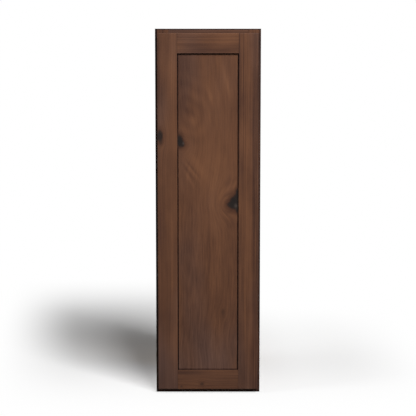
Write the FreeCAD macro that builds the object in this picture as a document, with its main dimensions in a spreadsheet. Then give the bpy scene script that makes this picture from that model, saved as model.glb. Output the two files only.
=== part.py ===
import FreeCAD, Part
import Sketcher
import os
import re

# Framed kitchen wall cabinet with one full-overlay door on concealed hinges.
# The wall is the plane y = 0, the front faces -Y, +X is the free side of the door and z = 0 is the underside.

Vector = FreeCAD.Vector
Rotation = FreeCAD.Rotation
Placement = FreeCAD.Placement

os.makedirs("parts", exist_ok=True)
doc = FreeCAD.newDocument("wall_cabinet")

# Driving dimensions in millimetres, and counts.
SIZES = {
    # Overall box, from the wall to the front of the face frame
    "cabinet_width": 304.8,
    "cabinet_height": 1066.8,
    "cabinet_depth": 304.8,
    # Face frame
    "frame_thickness": 19.05,
    "frame_stile_width": 38.1,
    "frame_rail_width": 38.1,
    "frame_overhang": 4.8,
    "frame_groove_depth": 6.35,
    "tenon_length": 12.0,
    "tenon_thickness": 6.35,
    "tenon_shoulder": 6.0,
    # Box boards
    "side_thickness": 12.7,
    "deck_thickness": 12.7,
    "dado_depth": 6.35,
    "back_thickness": 6.35,
    "back_groove_depth": 6.35,
    "hanging_rail_thickness": 12.7,
    "hanging_rail_height": 76.2,
    "wall_hole_diameter": 5.5,
    "wall_hole_spacing": 203.2,
    "corner_block_leg": 50.0,
    "corner_block_thickness": 16.0,
    # Adjustable shelves and the rows of holes that carry them
    "shelf_thickness": 19.05,
    "shelf_side_clearance": 1.5,
    "shelf_back_clearance": 2.0,
    "shelf_setback": 25.0,
    "shelf_edge_thickness": 3.0,
    "pin_diameter": 5.0,
    "pin_hole_depth": 9.0,
    "pin_peg_length": 9.0,
    "pin_row_start": 213.4,
    "pin_pitch": 64.0,
    "pin_count": 11,
    "pin_row_inset": 50.8,
    "lower_shelf_hole": 1,
    "middle_shelf_hole": 5,
    "upper_shelf_hole": 9,
    # Door
    "side_reveal": 6.35,
    "top_reveal": 12.7,
    "bottom_reveal": 12.7,
    "door_gap": 2.5,
    "door_thickness": 19.05,
    "door_stile_width": 57.15,
    "door_rail_width": 57.15,
    "door_edge_radius": 2.0,
    "panel_thickness": 6.35,
    "panel_recess": 6.35,
    "panel_groove_depth": 11.0,
    "panel_float": 3.2,
    "panel_play": 0.1,
    "spacer_length": 12.0,
    "bumper_diameter": 8.0,
    "bumper_thickness": 2.2,
    "bumper_inset": 13.0,
    # Concealed hinges
    "hinge_end_distance": 88.9,
    "cup_edge": 3.0,
    "cup_diameter": 35.0,
    "cup_depth": 12.0,
    "cup_floor": 0.8,
    "cup_wall": 2.0,
    "cup_bore_clearance": 0.1,
    "channel_width": 10.4,
    "flange_thickness": 1.0,
    "flange_length": 56.0,
    "flange_width": 21.0,
    "flange_corner_radius": 4.0,
    "flange_margin": 5.0,
    "cup_screw_spacing": 45.0,
    "cup_screw_offset": 9.5,
    "cup_screw_length": 11.0,
    "cup_screw_head": 1.0,
    "wood_screw_diameter": 3.5,
    "wood_screw_head_diameter": 6.5,
    "link_pin_diameter": 2.4,
    "lever_pin_diameter": 2.0,
    "pin_running_clearance": 0.05,
    "pin_rivet": 0.5,
    "cup_pin_length": 26.0,
    "cup_link_pin_offset": 7.0,
    "cup_link_pin_depth": 6.0,
    "cup_lever_pin_offset": 8.5,
    "cup_lever_pin_depth": 1.8,
    "arm_link_pin_offset": 5.75,
    "arm_link_pin_depth": 3.5,
    "arm_lever_pin_offset": 12.25,
    "arm_lever_pin_depth": 1.9,
    "link_width": 6.0,
    "link_thickness": 2.8,
    "link_eye_diameter": 5.2,
    "link_root_length": 17.0,
    "link_root_drop": 1.5,
    "lever_ear_thickness": 1.5,
    "lever_side_play": 0.4,
    "lever_thickness": 2.4,
    "lever_eye_diameter": 4.0,
    "lever_bend_inset": 1.75,
    "lever_bend_clearance": 2.5,
    "lever_slot_travel": 2.6,
    "lever_slot_play": 0.5,
    "lever_slot_wall": 1.0,
    "arm_side_play": 0.3,
    "arm_sheet": 1.5,
    "arm_height": 19.75,
    "arm_front_gap": 1.7,
    "arm_length": 22.3,
    "arm_corner_radius": 3.0,
    "plate_thickness": 2.0,
    "plate_length": 48.0,
    "plate_depth": 17.0,
    "plate_setback": 1.5,
    "plate_corner_radius": 4.0,
    "plate_screw_spacing": 34.0,
    "plate_screw_length": 16.0,
    "plate_screw_head": 1.8,
    "boss_height": 10.25,
    "boss_width": 8.0,
    "boss_depth": 10.5,
    "arm_screw_diameter": 4.0,
    "arm_screw_head_diameter": 7.5,
    "arm_screw_head": 2.2,
    "arm_screw_length": 14.0,
    "spring_radius": 36.0,
    "spring_rise": 1.8,
    "spring_thickness": 0.5,
    "spring_width": 5.6,
}

sheet = doc.addObject("Spreadsheet::Sheet", "Sizes")
for row, (alias, number) in enumerate(SIZES.items(), start=1):
    sheet.set(f"A{row}", alias)
    sheet.set(f"B{row}", str(number))
    sheet.setAlias(f"B{row}", alias)
doc.recompute()

NODES = {}


def bound(formula):
    """Return a formula of size names as an expression on the sheet."""
    return re.sub(r"[a-z_]+", lambda word: f"Sizes.{word[0]}" if word[0] in SIZES else word[0], formula)


def value(formula):
    """Return the number that a formula of size names gives."""
    return float(sheet.evalExpression(bound(formula)))


def bind(item, prop, formula):
    """Tie a property of an object to a formula of size names."""
    item.setExpression(prop, bound(formula))


def place(item, x, y, z, rotation=Rotation()):
    """Turn an object and tie its position to three formulas."""
    item.Placement = Placement(Vector(), rotation)
    bind(item, "Placement.Base.x", x)
    bind(item, "Placement.Base.y", y)
    bind(item, "Placement.Base.z", z)


def node(name, item):
    """Label an object as a finished piece."""
    item.Label = name
    NODES[name] = item
    return item


# Frame of reference

HALF_WIDTH = "cabinet_width / 2"
SIDE_OUTER = "(cabinet_width / 2 - frame_overhang)"
SIDE_INNER = "(cabinet_width / 2 - frame_overhang - side_thickness)"
FRAME_FRONT = "-cabinet_depth"
FRAME_REAR = "(frame_thickness - cabinet_depth)"
BACK_REAR = "-hanging_rail_thickness"
BACK_FRONT = "(-hanging_rail_thickness - back_thickness)"
FLOOR_TOP = "frame_rail_width"
FLOOR_UNDER = "(frame_rail_width - deck_thickness)"
CEILING_UNDER = "(cabinet_height - frame_rail_width)"
CEILING_TOP = "(cabinet_height - frame_rail_width + deck_thickness)"

DOOR_LEFT = "(side_reveal - cabinet_width / 2)"
DOOR_RIGHT = "(cabinet_width / 2 - side_reveal)"
DOOR_BOTTOM = "bottom_reveal"
DOOR_TOP = "(cabinet_height - top_reveal)"
DOOR_REAR = "(-cabinet_depth - door_gap)"
DOOR_FRONT = "(-cabinet_depth - door_gap - door_thickness)"
GROOVE_FRONT = f"({DOOR_FRONT} + panel_recess)"
GROOVE_REAR = f"({DOOR_FRONT} + panel_recess + panel_thickness + 2 * panel_play)"

HINGE_HEIGHTS = {
    "lower": f"({DOOR_BOTTOM} + hinge_end_distance)",
    "middle": f"(({DOOR_BOTTOM} + {DOOR_TOP}) / 2)",
    "upper": f"({DOOR_TOP} - hinge_end_distance)",
}

AXES = {
    "+x": Rotation(Vector(0, 1, 0), 90),
    "-x": Rotation(Vector(0, 1, 0), -90),
    "+y": Rotation(Vector(1, 0, 0), -90),
    "-y": Rotation(Vector(1, 0, 0), 90),
    "+z": Rotation(),
}


# Solids from formulas

def block(name, x, y, z):
    """Make a box between pairs of formulas along the three axes."""
    box = doc.addObject("Part::Box", name)
    for prop, (low, high) in (("Length", x), ("Width", y), ("Height", z)):
        bind(box, prop, f"({high}) - ({low})")
    place(box, x[0], y[0], z[0])
    return box


def rod(name, diameter, length, start, axis):
    """Make a cylinder of given formulas that starts at a point and runs along an axis."""
    cylinder = doc.addObject("Part::Cylinder", name)
    bind(cylinder, "Radius", f"({diameter}) / 2")
    bind(cylinder, "Height", length)
    place(cylinder, *start, AXES[axis])
    return cylinder


def cross_rod(name, diameter, length, x, y, z):
    """Make an upright cylinder that is centred on a point."""
    return rod(name, diameter, length, (x, y, f"{z} - ({length}) / 2"), "+z")


def fused(name, pieces):
    """Join solids that touch."""
    union = doc.addObject("Part::MultiFuse", name)
    union.Shapes = pieces
    return union


def without(name, base, tools):
    """Cut tools out of a base solid."""
    cut = doc.addObject("Part::Cut", name)
    cut.Base = base
    cut.Tool = tools[0] if len(tools) == 1 else fused(f"{name}_tools", tools)
    return cut


def group(name, pieces):
    """Keep several separate solids as one piece."""
    compound = doc.addObject("Part::Compound", name)
    compound.Links = pieces
    return compound


def rounded(name, base, radius, chosen):
    """Round the edges of a solid that a test on their two end points picks."""
    doc.recompute()
    picked = []
    for index, edge in enumerate(base.Shape.Edges, start=1):
        if chosen(edge.Vertexes[0].Point, edge.Vertexes[-1].Point):
            picked.append((index, value(radius), value(radius)))
    fillet = doc.addObject("Part::Fillet", name)
    fillet.Base = base
    fillet.Edges = picked
    return fillet


# Sketches

def sketch_on(body, role, name, offset="0"):
    """Attach a new sketch to one of a body's own origin planes, at an offset along its normal."""
    plane = next(item for item in body.Origin.OriginFeatures if item.Role == role)
    sketch = body.newObject("Sketcher::SketchObject", name)
    sketch.AttachmentSupport = [(plane, "")]
    sketch.MapMode = "FlatFace"
    bind(sketch, "AttachmentOffset.Base.z", offset)
    return sketch


def hold(sketch, kind, geometry, point, formula):
    """Tie one coordinate of a sketch point to a formula."""
    index = sketch.addConstraint(Sketcher.Constraint(kind, -1, 1, geometry, point, value(formula)))
    bind(sketch, f"Constraints[{index}]", formula)


def rectangle(sketch, across, along):
    """Draw a rectangle between two pairs of formulas."""
    left, right = (value(formula) for formula in across)
    bottom, top = (value(formula) for formula in along)
    corners = [Vector(left, bottom), Vector(right, bottom), Vector(right, top), Vector(left, top)]
    first = sketch.GeometryCount
    for start, end in zip(corners, corners[1:] + corners[:1]):
        sketch.addGeometry(Part.LineSegment(start, end))
    for side in range(4):
        sketch.addConstraint(Sketcher.Constraint("Coincident", first + side, 2, first + (side + 1) % 4, 1))
    for side, kind in enumerate(("Horizontal", "Vertical", "Horizontal", "Vertical")):
        sketch.addConstraint(Sketcher.Constraint(kind, first + side))
    hold(sketch, "DistanceX", first, 1, across[0])
    hold(sketch, "DistanceY", first, 1, along[0])
    hold(sketch, "DistanceX", first + 2, 1, across[1])
    hold(sketch, "DistanceY", first + 2, 1, along[1])


def circle(sketch, diameter, x, y):
    """Draw a circle of a given diameter about a point."""
    centre = Vector(value(x), value(y))
    index = sketch.addGeometry(Part.Circle(centre, Vector(0, 0, 1), value(diameter) / 2))
    hold(sketch, "DistanceX", index, 3, x)
    hold(sketch, "DistanceY", index, 3, y)
    size = sketch.addConstraint(Sketcher.Constraint("Diameter", index, value(diameter)))
    bind(sketch, f"Constraints[{size}]", diameter)


def extrusion(body, kind, sketch, length, reverse=False, midplane=False):
    """Add a Pad or a Pocket of a sketch and make sure that it changed the solid."""
    doc.recompute()
    before = body.Shape.Volume if body.Tip else 0.0
    feature = body.newObject(f"PartDesign::{kind}", f"{sketch.Name}_{kind}")
    feature.Profile = sketch
    bind(feature, "Length", length)
    feature.Reversed = reverse
    feature.Midplane = midplane
    doc.recompute()
    if abs(body.Shape.Volume - before) < 1e-6:
        raise RuntimeError(f"{feature.Name} changed nothing")
    return feature


# Box

PIN_ROWS = (f"{FRAME_REAR} + pin_row_inset", f"{BACK_FRONT} - pin_row_inset")


def side_board(name, sign):
    """Make one side with its dados, its back groove and two rows of shelf pin holes."""
    body = doc.addObject("PartDesign::Body", name)
    place(body, f"{sign} * {SIDE_OUTER}", "0", "0")
    inward = sign < 0
    inner_face = f"{-sign} * side_thickness"

    outline = sketch_on(body, "YZ_Plane", f"{name}_outline")
    rectangle(outline, (f"{FRAME_REAR} - frame_groove_depth", "0"), ("0", "cabinet_height"))
    extrusion(body, "Pad", outline, "side_thickness", reverse=not inward)

    dados = sketch_on(body, "YZ_Plane", f"{name}_dados", inner_face)
    rectangle(dados, (FRAME_REAR, BACK_FRONT), (FLOOR_UNDER, FLOOR_TOP))
    rectangle(dados, (FRAME_REAR, BACK_FRONT), (CEILING_UNDER, CEILING_TOP))
    extrusion(body, "Pocket", dados, "dado_depth", reverse=not inward)

    groove = sketch_on(body, "YZ_Plane", f"{name}_back_groove", inner_face)
    rectangle(groove, (BACK_FRONT, BACK_REAR), ("0", "cabinet_height"))
    extrusion(body, "Pocket", groove, "back_groove_depth", reverse=not inward)

    holes = sketch_on(body, "YZ_Plane", f"{name}_pin_holes", inner_face)
    for depth in PIN_ROWS:
        circle(holes, "pin_diameter", depth, "pin_row_start")
    first_holes = extrusion(body, "Pocket", holes, "pin_hole_depth", reverse=not inward)

    rows = body.newObject("PartDesign::LinearPattern", f"{name}_pin_rows")
    rows.Originals = [first_holes]
    rows.Direction = (holes, ["V_Axis"])
    bind(rows, "Length", "(pin_count - 1) * pin_pitch")
    bind(rows, "Occurrences", "pin_count")
    body.Tip = rows
    return node(name, body)


def box_boards():
    """Make the sides, the two decks, the back and the two hanging rails."""
    side_board("left_side", -1)
    side_board("right_side", 1)

    deck_reach = f"({SIDE_INNER} + dado_depth)"
    deck_span = (f"-{deck_reach}", deck_reach)
    deck_depth = (FRAME_REAR, BACK_FRONT)
    node("bottom_panel", block("bottom_deck", deck_span, deck_depth, (FLOOR_UNDER, FLOOR_TOP)))
    node("top_panel", block("top_deck", deck_span, deck_depth, (CEILING_UNDER, CEILING_TOP)))

    rail_heights = {
        "lower": ("0", "hanging_rail_height"),
        "upper": ("cabinet_height - hanging_rail_height", "cabinet_height"),
    }
    all_holes = []
    for level, (bottom, top) in rail_heights.items():
        rail = block(f"{level}_rail_board", (f"-{SIDE_INNER}", SIDE_INNER), (BACK_REAR, "0"), (bottom, top))
        holes = []
        for sign in (-1, 1):
            start = (f"{sign} * wall_hole_spacing / 2", BACK_FRONT, f"(({bottom}) + ({top})) / 2")
            through = "hanging_rail_thickness + back_thickness"
            holes.append(rod(f"{level}_wall_hole", "wall_hole_diameter", through, start, "+y"))
        node(f"{level}_hanging_rail", without(f"{level}_rail", rail, holes))
        all_holes += holes

    back_reach = f"({SIDE_INNER} + back_groove_depth)"
    board = block("back_board", (f"-{back_reach}", back_reach), (BACK_FRONT, BACK_REAR), ("0", "cabinet_height"))
    node("back_panel", without("back", board, all_holes))


def corner_block(name, side, front, bottom, top):
    """Make one triangular block that is glued into a corner of the box."""
    body = doc.addObject("PartDesign::Body", name)
    place(body, f"{side} * {SIDE_INNER}", FRAME_REAR if front else BACK_FRONT, bottom)
    sketch = sketch_on(body, "XY_Plane", f"{name}_outline")
    leg_x = f"{-side} * corner_block_leg"
    leg_y = f"{1 if front else -1} * corner_block_leg"
    corners = [Vector(0, 0), Vector(value(leg_x), 0), Vector(0, value(leg_y))]
    for start, end in zip(corners, corners[1:] + corners[:1]):
        sketch.addGeometry(Part.LineSegment(start, end))
    for edge in range(3):
        sketch.addConstraint(Sketcher.Constraint("Coincident", edge, 2, (edge + 1) % 3, 1))
    sketch.addConstraint(Sketcher.Constraint("Coincident", 0, 1, -1, 1))
    sketch.addConstraint(Sketcher.Constraint("Horizontal", 0))
    sketch.addConstraint(Sketcher.Constraint("Vertical", 2))
    hold(sketch, "DistanceX", 1, 1, leg_x)
    hold(sketch, "DistanceY", 2, 1, leg_y)
    extrusion(body, "Pad", sketch, f"({top}) - ({bottom})")
    return body


def corner_blocks():
    """Glue four corner blocks on the upper deck and four under the lower deck."""
    levels = {
        "upper": (CEILING_TOP, f"{CEILING_TOP} + corner_block_thickness"),
        "lower": (f"{FLOOR_UNDER} - corner_block_thickness", FLOOR_UNDER),
    }
    for level, (bottom, top) in levels.items():
        blocks = []
        for side in (-1, 1):
            for front in (True, False):
                place_name = f"{level}_{'left' if side < 0 else 'right'}_{'front' if front else 'rear'}"
                blocks.append(corner_block(f"{place_name}_block", side, front, bottom, top))
        node(f"{level}_corner_blocks", group(f"{level}_blocks", blocks))


# Face frame

TENON_DEPTH = (f"({FRAME_FRONT} + {FRAME_REAR} - tenon_thickness) / 2",
               f"({FRAME_FRONT} + {FRAME_REAR} + tenon_thickness) / 2")
FRAME_RAILS = {
    "frame_bottom_rail": ("0", "frame_rail_width"),
    "frame_top_rail": (CEILING_UNDER, "cabinet_height"),
}


def frame_rail(name, bottom, top):
    """Make one rail of the face frame with its two tenons."""
    inner = f"({HALF_WIDTH} - frame_stile_width)"
    board = block(f"{name}_board", (f"-{inner}", inner), (FRAME_FRONT, FRAME_REAR), (bottom, top))
    tenon = block(f"{name}_tenon", (f"-{inner} - tenon_length", f"{inner} + tenon_length"),
                  TENON_DEPTH, (f"{bottom} + tenon_shoulder", f"{top} - tenon_shoulder"))
    return node(name, fused(f"{name}_joined", [board, tenon]))


def signed_span(sign, low, high):
    """Return a span on one side of the middle, lowest first."""
    return (low, high) if sign > 0 else (f"-({high})", f"-({low})")


def frame_stile(name, sign):
    """Make one stile of the face frame, grooved for the side and mortised for the rails."""
    inner = f"({HALF_WIDTH} - frame_stile_width)"
    board = block(f"{name}_board", signed_span(sign, inner, HALF_WIDTH), (FRAME_FRONT, FRAME_REAR),
                  ("0", "cabinet_height"))
    cuts = [block(f"{name}_groove", signed_span(sign, SIDE_INNER, SIDE_OUTER),
                  (f"{FRAME_REAR} - frame_groove_depth", FRAME_REAR), ("0", "cabinet_height"))]
    for bottom, top in FRAME_RAILS.values():
        cuts.append(block(f"{name}_mortise", signed_span(sign, inner, f"{inner} + tenon_length"), TENON_DEPTH,
                          (f"{bottom} + tenon_shoulder", f"{top} - tenon_shoulder")))
    if sign < 0:
        for height in HINGE_HEIGHTS.values():
            for start in plate_screw_starts(height):
                cuts.append(rod(f"{name}_pilot", "wood_screw_diameter", PLATE_SCREW_BITE, start, "-x"))
    return node(name, without(f"{name}_cut", board, cuts))


def face_frame():
    """Make the four members of the face frame."""
    for name, (bottom, top) in FRAME_RAILS.items():
        frame_rail(name, bottom, top)
    frame_stile("frame_left_stile", -1)
    frame_stile("frame_right_stile", 1)


# Shelves

def shelf(level):
    """Make one adjustable shelf, its front edge strip and the four pins that it lies on."""
    hole = f"(pin_row_start + {level}_shelf_hole * pin_pitch)"
    bottom = f"({hole} + pin_diameter / 2)"
    reach = f"({SIDE_INNER} - shelf_side_clearance)"
    front = f"({FRAME_REAR} + shelf_setback)"
    board_front = f"({front} + shelf_edge_thickness)"
    height = (bottom, f"{bottom} + shelf_thickness")
    node(f"{level}_shelf", block(f"{level}_board", (f"-{reach}", reach),
                                 (board_front, f"{BACK_FRONT} - shelf_back_clearance"), height))
    node(f"{level}_shelf_edge", block(f"{level}_edge", (f"-{reach}", reach), (front, board_front), height))

    pins = []
    for sign, axis in ((-1, "+x"), (1, "-x")):
        for depth in PIN_ROWS:
            start = (f"{sign} * ({SIDE_INNER} + pin_hole_depth)", depth, hole)
            pins.append(rod(f"{level}_pin", "pin_diameter", "pin_hole_depth + pin_peg_length", start, axis))
    node(f"{level}_shelf_pins", group(f"{level}_pins", pins))


# Door

def near(number, formula):
    """Tell whether a coordinate lies on a plane that a formula places."""
    return abs(number - value(formula)) < 1e-4


def outer_edges(outer_x, outer_z):
    """Return a test for the front and rear edges of a door member on the door's outline."""
    def chosen(start, end):
        same_depth = abs(start.y - end.y) < 1e-4
        on_faces = near(start.y, DOOR_FRONT) or near(start.y, DOOR_REAR)
        on_side = any(near(start.x, x) and near(end.x, x) for x in outer_x)
        on_end = any(near(start.z, z) and near(end.z, z) for z in outer_z)
        return same_depth and on_faces and (on_side or on_end)
    return chosen


def door_stile(name, outer, inner, sign):
    """Make one door stile with its panel groove, and its hinge bores on the hinge side."""
    x = (outer, inner) if sign < 0 else (inner, outer)
    board = block(f"{name}_board", x, (DOOR_FRONT, DOOR_REAR), (DOOR_BOTTOM, DOOR_TOP))
    eased = rounded(f"{name}_eased", board, "door_edge_radius",
                    outer_edges([outer], [DOOR_BOTTOM, DOOR_TOP]))
    groove_x = (f"{inner} - panel_groove_depth", inner) if sign < 0 else (inner, f"{inner} + panel_groove_depth")
    cuts = [block(f"{name}_groove", groove_x, (GROOVE_FRONT, GROOVE_REAR), (DOOR_BOTTOM, DOOR_TOP))]
    if sign < 0:
        for height in HINGE_HEIGHTS.values():
            cuts.append(rod(f"{name}_bore", "cup_diameter + 2 * cup_bore_clearance", "cup_depth",
                            (CUP_X, DOOR_REAR, height), "-y"))
            for start in cup_screw_starts(height):
                cuts.append(rod(f"{name}_pilot", "wood_screw_diameter", CUP_SCREW_BITE, start, "-y"))
    return node(name, without(f"{name}_cut", eased, cuts))


def door_rail(name, outer, inner, upper):
    """Make one door rail with stub tenons and its panel groove."""
    left = f"({DOOR_LEFT} + door_stile_width)"
    right = f"({DOOR_RIGHT} - door_stile_width)"
    z = (inner, outer) if upper else (outer, inner)
    board = block(f"{name}_board", (left, right), (DOOR_FRONT, DOOR_REAR), z)
    eased = rounded(f"{name}_eased", board, "door_edge_radius", outer_edges([], [outer]))
    tenon = block(f"{name}_tenon", (f"{left} - panel_groove_depth", f"{right} + panel_groove_depth"),
                  (GROOVE_FRONT, GROOVE_REAR), z)
    groove_z = (inner, f"{inner} + panel_groove_depth") if upper else (f"{inner} - panel_groove_depth", inner)
    groove = block(f"{name}_groove", (f"{left} - panel_groove_depth", f"{right} + panel_groove_depth"),
                   (GROOVE_FRONT, GROOVE_REAR), groove_z)
    return node(name, without(f"{name}_cut", fused(f"{name}_joined", [eased, tenon]), [groove]))


def door():
    """Make the door: two stiles, two rails, the flat panel, its spacers and the bumpers."""
    left = f"({DOOR_LEFT} + door_stile_width)"
    right = f"({DOOR_RIGHT} - door_stile_width)"
    bottom = f"({DOOR_BOTTOM} + door_rail_width)"
    top = f"({DOOR_TOP} - door_rail_width)"
    door_stile("door_hinge_stile", DOOR_LEFT, left, -1)
    door_stile("door_free_stile", DOOR_RIGHT, right, 1)
    door_rail("door_bottom_rail", DOOR_BOTTOM, bottom, False)
    door_rail("door_top_rail", DOOR_TOP, top, True)

    tongue = "(panel_groove_depth - panel_float)"
    node("door_panel", block("panel", (f"{left} - {tongue}", f"{right} + {tongue}"),
                             (f"{GROOVE_FRONT} + panel_play", f"{GROOVE_REAR} - panel_play"),
                             (f"{bottom} - {tongue}", f"{top} + {tongue}")))

    middle_depth = f"({GROOVE_FRONT} + {GROOVE_REAR}) / 2"
    gap_centre = "(panel_groove_depth - panel_float / 2)"
    spacers = []
    for x in (f"{left} - {gap_centre}", f"{right} + {gap_centre}"):
        for share in (1, 3):
            z = f"({bottom} + ({top} - {bottom}) * {share} / 4)"
            spacers.append(cross_rod("side_spacer", "panel_float", "spacer_length", x, middle_depth, z))
    for z in (f"{bottom} - {gap_centre}", f"{top} + {gap_centre}"):
        start = ("-spacer_length / 2", middle_depth, z)
        spacers.append(rod("end_spacer", "panel_float", "spacer_length", start, "+x"))
    node("panel_spacers", group("spacers", spacers))

    bumpers = []
    for z in (f"{DOOR_BOTTOM} + bumper_inset", f"{DOOR_TOP} - bumper_inset"):
        start = (f"{DOOR_RIGHT} - bumper_inset", DOOR_REAR, z)
        bumpers.append(rod("bumper", "bumper_diameter", "bumper_thickness", start, "+y"))
    node("door_bumpers", group("bumpers", bumpers))


# Concealed hinges: a die-cast cup in the door, a gooseneck link and a slotted lever, and an arm on a plate
# that is screwed to the inner edge of the face frame. Across and depth run from the hinge edge and the rear
# face of the door.

OVERLAY = "(frame_stile_width - side_reveal)"
CUP_ACROSS = "(cup_edge + cup_diameter / 2)"
CUP_X = f"({DOOR_LEFT} + {CUP_ACROSS})"
PLATE_TOP = f"({OVERLAY} + plate_thickness)"
PLATE_MIDDLE = "(door_gap + plate_setback + plate_depth / 2)"
ARM_WIDTH = "(link_width + 2 * (lever_side_play + lever_ear_thickness + arm_side_play + arm_sheet))"
ARM_INSIDE = "(link_width + 2 * (lever_side_play + lever_ear_thickness + arm_side_play))"
BOSS_DEPTH = "(door_gap + plate_setback + plate_depth - boss_depth / 2)"
CUP_SCREW_BITE = "cup_screw_length - flange_thickness"
PLATE_SCREW_BITE = "plate_screw_length - plate_thickness"

PINS = {
    "cup_link": ("(cup_edge + cup_link_pin_offset)", "-cup_link_pin_depth"),
    "cup_lever": ("(cup_edge + cup_lever_pin_offset)", "-cup_lever_pin_depth"),
    "arm_link": (f"({OVERLAY} + arm_link_pin_offset)", "(door_gap + arm_link_pin_depth)"),
    "arm_lever": (f"({OVERLAY} + arm_lever_pin_offset)", "(door_gap + arm_lever_pin_depth)"),
}


def pin_at(which):
    """Return where a hinge pin stands in the cabinet."""
    across, depth = PINS[which]
    return (f"{DOOR_LEFT} + {across}", f"{DOOR_REAR} + {depth}")


def pin_point(which):
    """Return where a hinge pin stands in the hinge's own plane."""
    across, depth = PINS[which]
    return Vector(value(across), value(depth))


def cup_screw_starts(height):
    """Return where the two screws of a cup enter the door."""
    x = f"({CUP_X} + cup_screw_offset)"
    return [(x, DOOR_REAR, f"{height} + {sign} * cup_screw_spacing / 2") for sign in (-1, 1)]


def plate_screw_starts(height):
    """Return where the two screws of a plate enter the face frame."""
    x = f"{DOOR_LEFT} + {OVERLAY}"
    y = f"{DOOR_REAR} + {PLATE_MIDDLE}"
    return [(x, y, f"{height} + {sign} * plate_screw_spacing / 2") for sign in (-1, 1)]


def hinge_cup(level, height):
    """Make a die-cast cup with a screw flange and a channel for the link and the lever."""
    drum = rod(f"{level}_drum", "cup_diameter", "cup_depth", (CUP_X, DOOR_REAR, height), "-y")
    flange_right = f"({CUP_X} + cup_screw_offset + flange_margin)"
    flange_left = f"({flange_right} - flange_width)"
    flange_z = (f"{height} - flange_length / 2", f"{height} + flange_length / 2")
    plate = block(f"{level}_flange", (flange_left, flange_right),
                  (DOOR_REAR, f"{DOOR_REAR} + flange_thickness"), flange_z)
    ears = rounded(f"{level}_flange_round", plate, "flange_corner_radius",
                   lambda start, end: abs(start.y - end.y) > 1e-4)
    channel = block(f"{level}_channel",
                    (f"{DOOR_LEFT} + cup_edge + cup_wall", f"{DOOR_LEFT} + cup_edge + cup_diameter - cup_wall"),
                    (f"{DOOR_REAR} - cup_depth + cup_floor", f"{DOOR_REAR} + flange_thickness"),
                    (f"{height} - channel_width / 2", f"{height} + channel_width / 2"))
    cuts = [channel]
    for which, diameter in (("cup_link", "link_pin_diameter"), ("cup_lever", "lever_pin_diameter")):
        cuts.append(cross_rod(f"{level}_{which}_hole", diameter, "cup_diameter", *pin_at(which), height))
    for x, y, z in cup_screw_starts(height):
        cuts.append(rod(f"{level}_screw_hole", "wood_screw_diameter", "flange_thickness", (x, y, z), "+y"))
    node(f"{level}_hinge_cup", without(f"{level}_cup", fused(f"{level}_cup_body", [drum, ears]), cuts))


def hinge_plate(level, height):
    """Make a mounting plate with a boss that the arm sits over."""
    body = doc.addObject("PartDesign::Body", f"{level}_plate")
    place(body, f"{DOOR_LEFT} + {OVERLAY}", DOOR_REAR, height)
    front = "(door_gap + plate_setback)"
    rear = f"({front} + plate_depth)"

    outline = sketch_on(body, "YZ_Plane", f"{level}_plate_outline")
    rectangle(outline, (front, rear), ("-plate_length / 2", "plate_length / 2"))
    slab = extrusion(body, "Pad", outline, "plate_thickness")

    corners = [f"Edge{index}" for index, edge in enumerate(slab.Shape.Edges, start=1)
               if abs(edge.Vertexes[0].X - edge.Vertexes[-1].X) > 1e-4]
    soft = body.newObject("PartDesign::Fillet", f"{level}_plate_corners")
    soft.Base = (slab, corners)
    bind(soft, "Radius", "plate_corner_radius")

    boss = sketch_on(body, "YZ_Plane", f"{level}_boss_outline")
    rectangle(boss, (f"{rear} - boss_depth", rear), ("-boss_width / 2", "boss_width / 2"))
    extrusion(body, "Pad", boss, "plate_thickness + boss_height")

    holes = sketch_on(body, "YZ_Plane", f"{level}_plate_holes", "plate_thickness + boss_height")
    circle(holes, "arm_screw_diameter", BOSS_DEPTH, "0")
    for sign in (-1, 1):
        circle(holes, "wood_screw_diameter", PLATE_MIDDLE, f"{sign} * plate_screw_spacing / 2")
    extrusion(body, "Pocket", holes, "plate_thickness + boss_height")
    node(f"{level}_hinge_plate", body)


def hinge_arm(level, height):
    """Make the channel-shaped arm that carries the two pins on the cabinet side."""
    body = doc.addObject("PartDesign::Body", f"{level}_arm")
    place(body, DOOR_LEFT, DOOR_REAR, height)
    top = f"({OVERLAY} + arm_height)"
    rear = "(arm_front_gap + arm_length)"

    outline = sketch_on(body, "XY_Plane", f"{level}_arm_outline")
    rectangle(outline, (PLATE_TOP, top), ("arm_front_gap", rear))
    bar = extrusion(body, "Pad", outline, ARM_WIDTH, midplane=True)

    crown = [f"Edge{index}" for index, edge in enumerate(bar.Shape.Edges, start=1)
             if abs(edge.Vertexes[0].Z - edge.Vertexes[-1].Z) > 1e-4
             and abs(edge.Vertexes[0].X - value(top)) < 1e-4]
    soft = body.newObject("PartDesign::Fillet", f"{level}_arm_crown")
    soft.Base = (bar, crown)
    bind(soft, "Radius", "arm_corner_radius")

    trough = sketch_on(body, "XY_Plane", f"{level}_arm_trough")
    rectangle(trough, (PLATE_TOP, f"{top} - arm_sheet"), ("arm_front_gap", rear))
    extrusion(body, "Pocket", trough, ARM_INSIDE, midplane=True)

    holes = sketch_on(body, "XY_Plane", f"{level}_arm_pin_holes")
    circle(holes, "link_pin_diameter", *PINS["arm_link"])
    circle(holes, "lever_pin_diameter", *PINS["arm_lever"])
    extrusion(body, "Pocket", holes, ARM_WIDTH, midplane=True)

    access = sketch_on(body, "YZ_Plane", f"{level}_arm_screw_hole", top)
    circle(access, "arm_screw_diameter", BOSS_DEPTH, "0")
    extrusion(body, "Pocket", access, "arm_sheet")
    node(f"{level}_hinge_arm", body)


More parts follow.
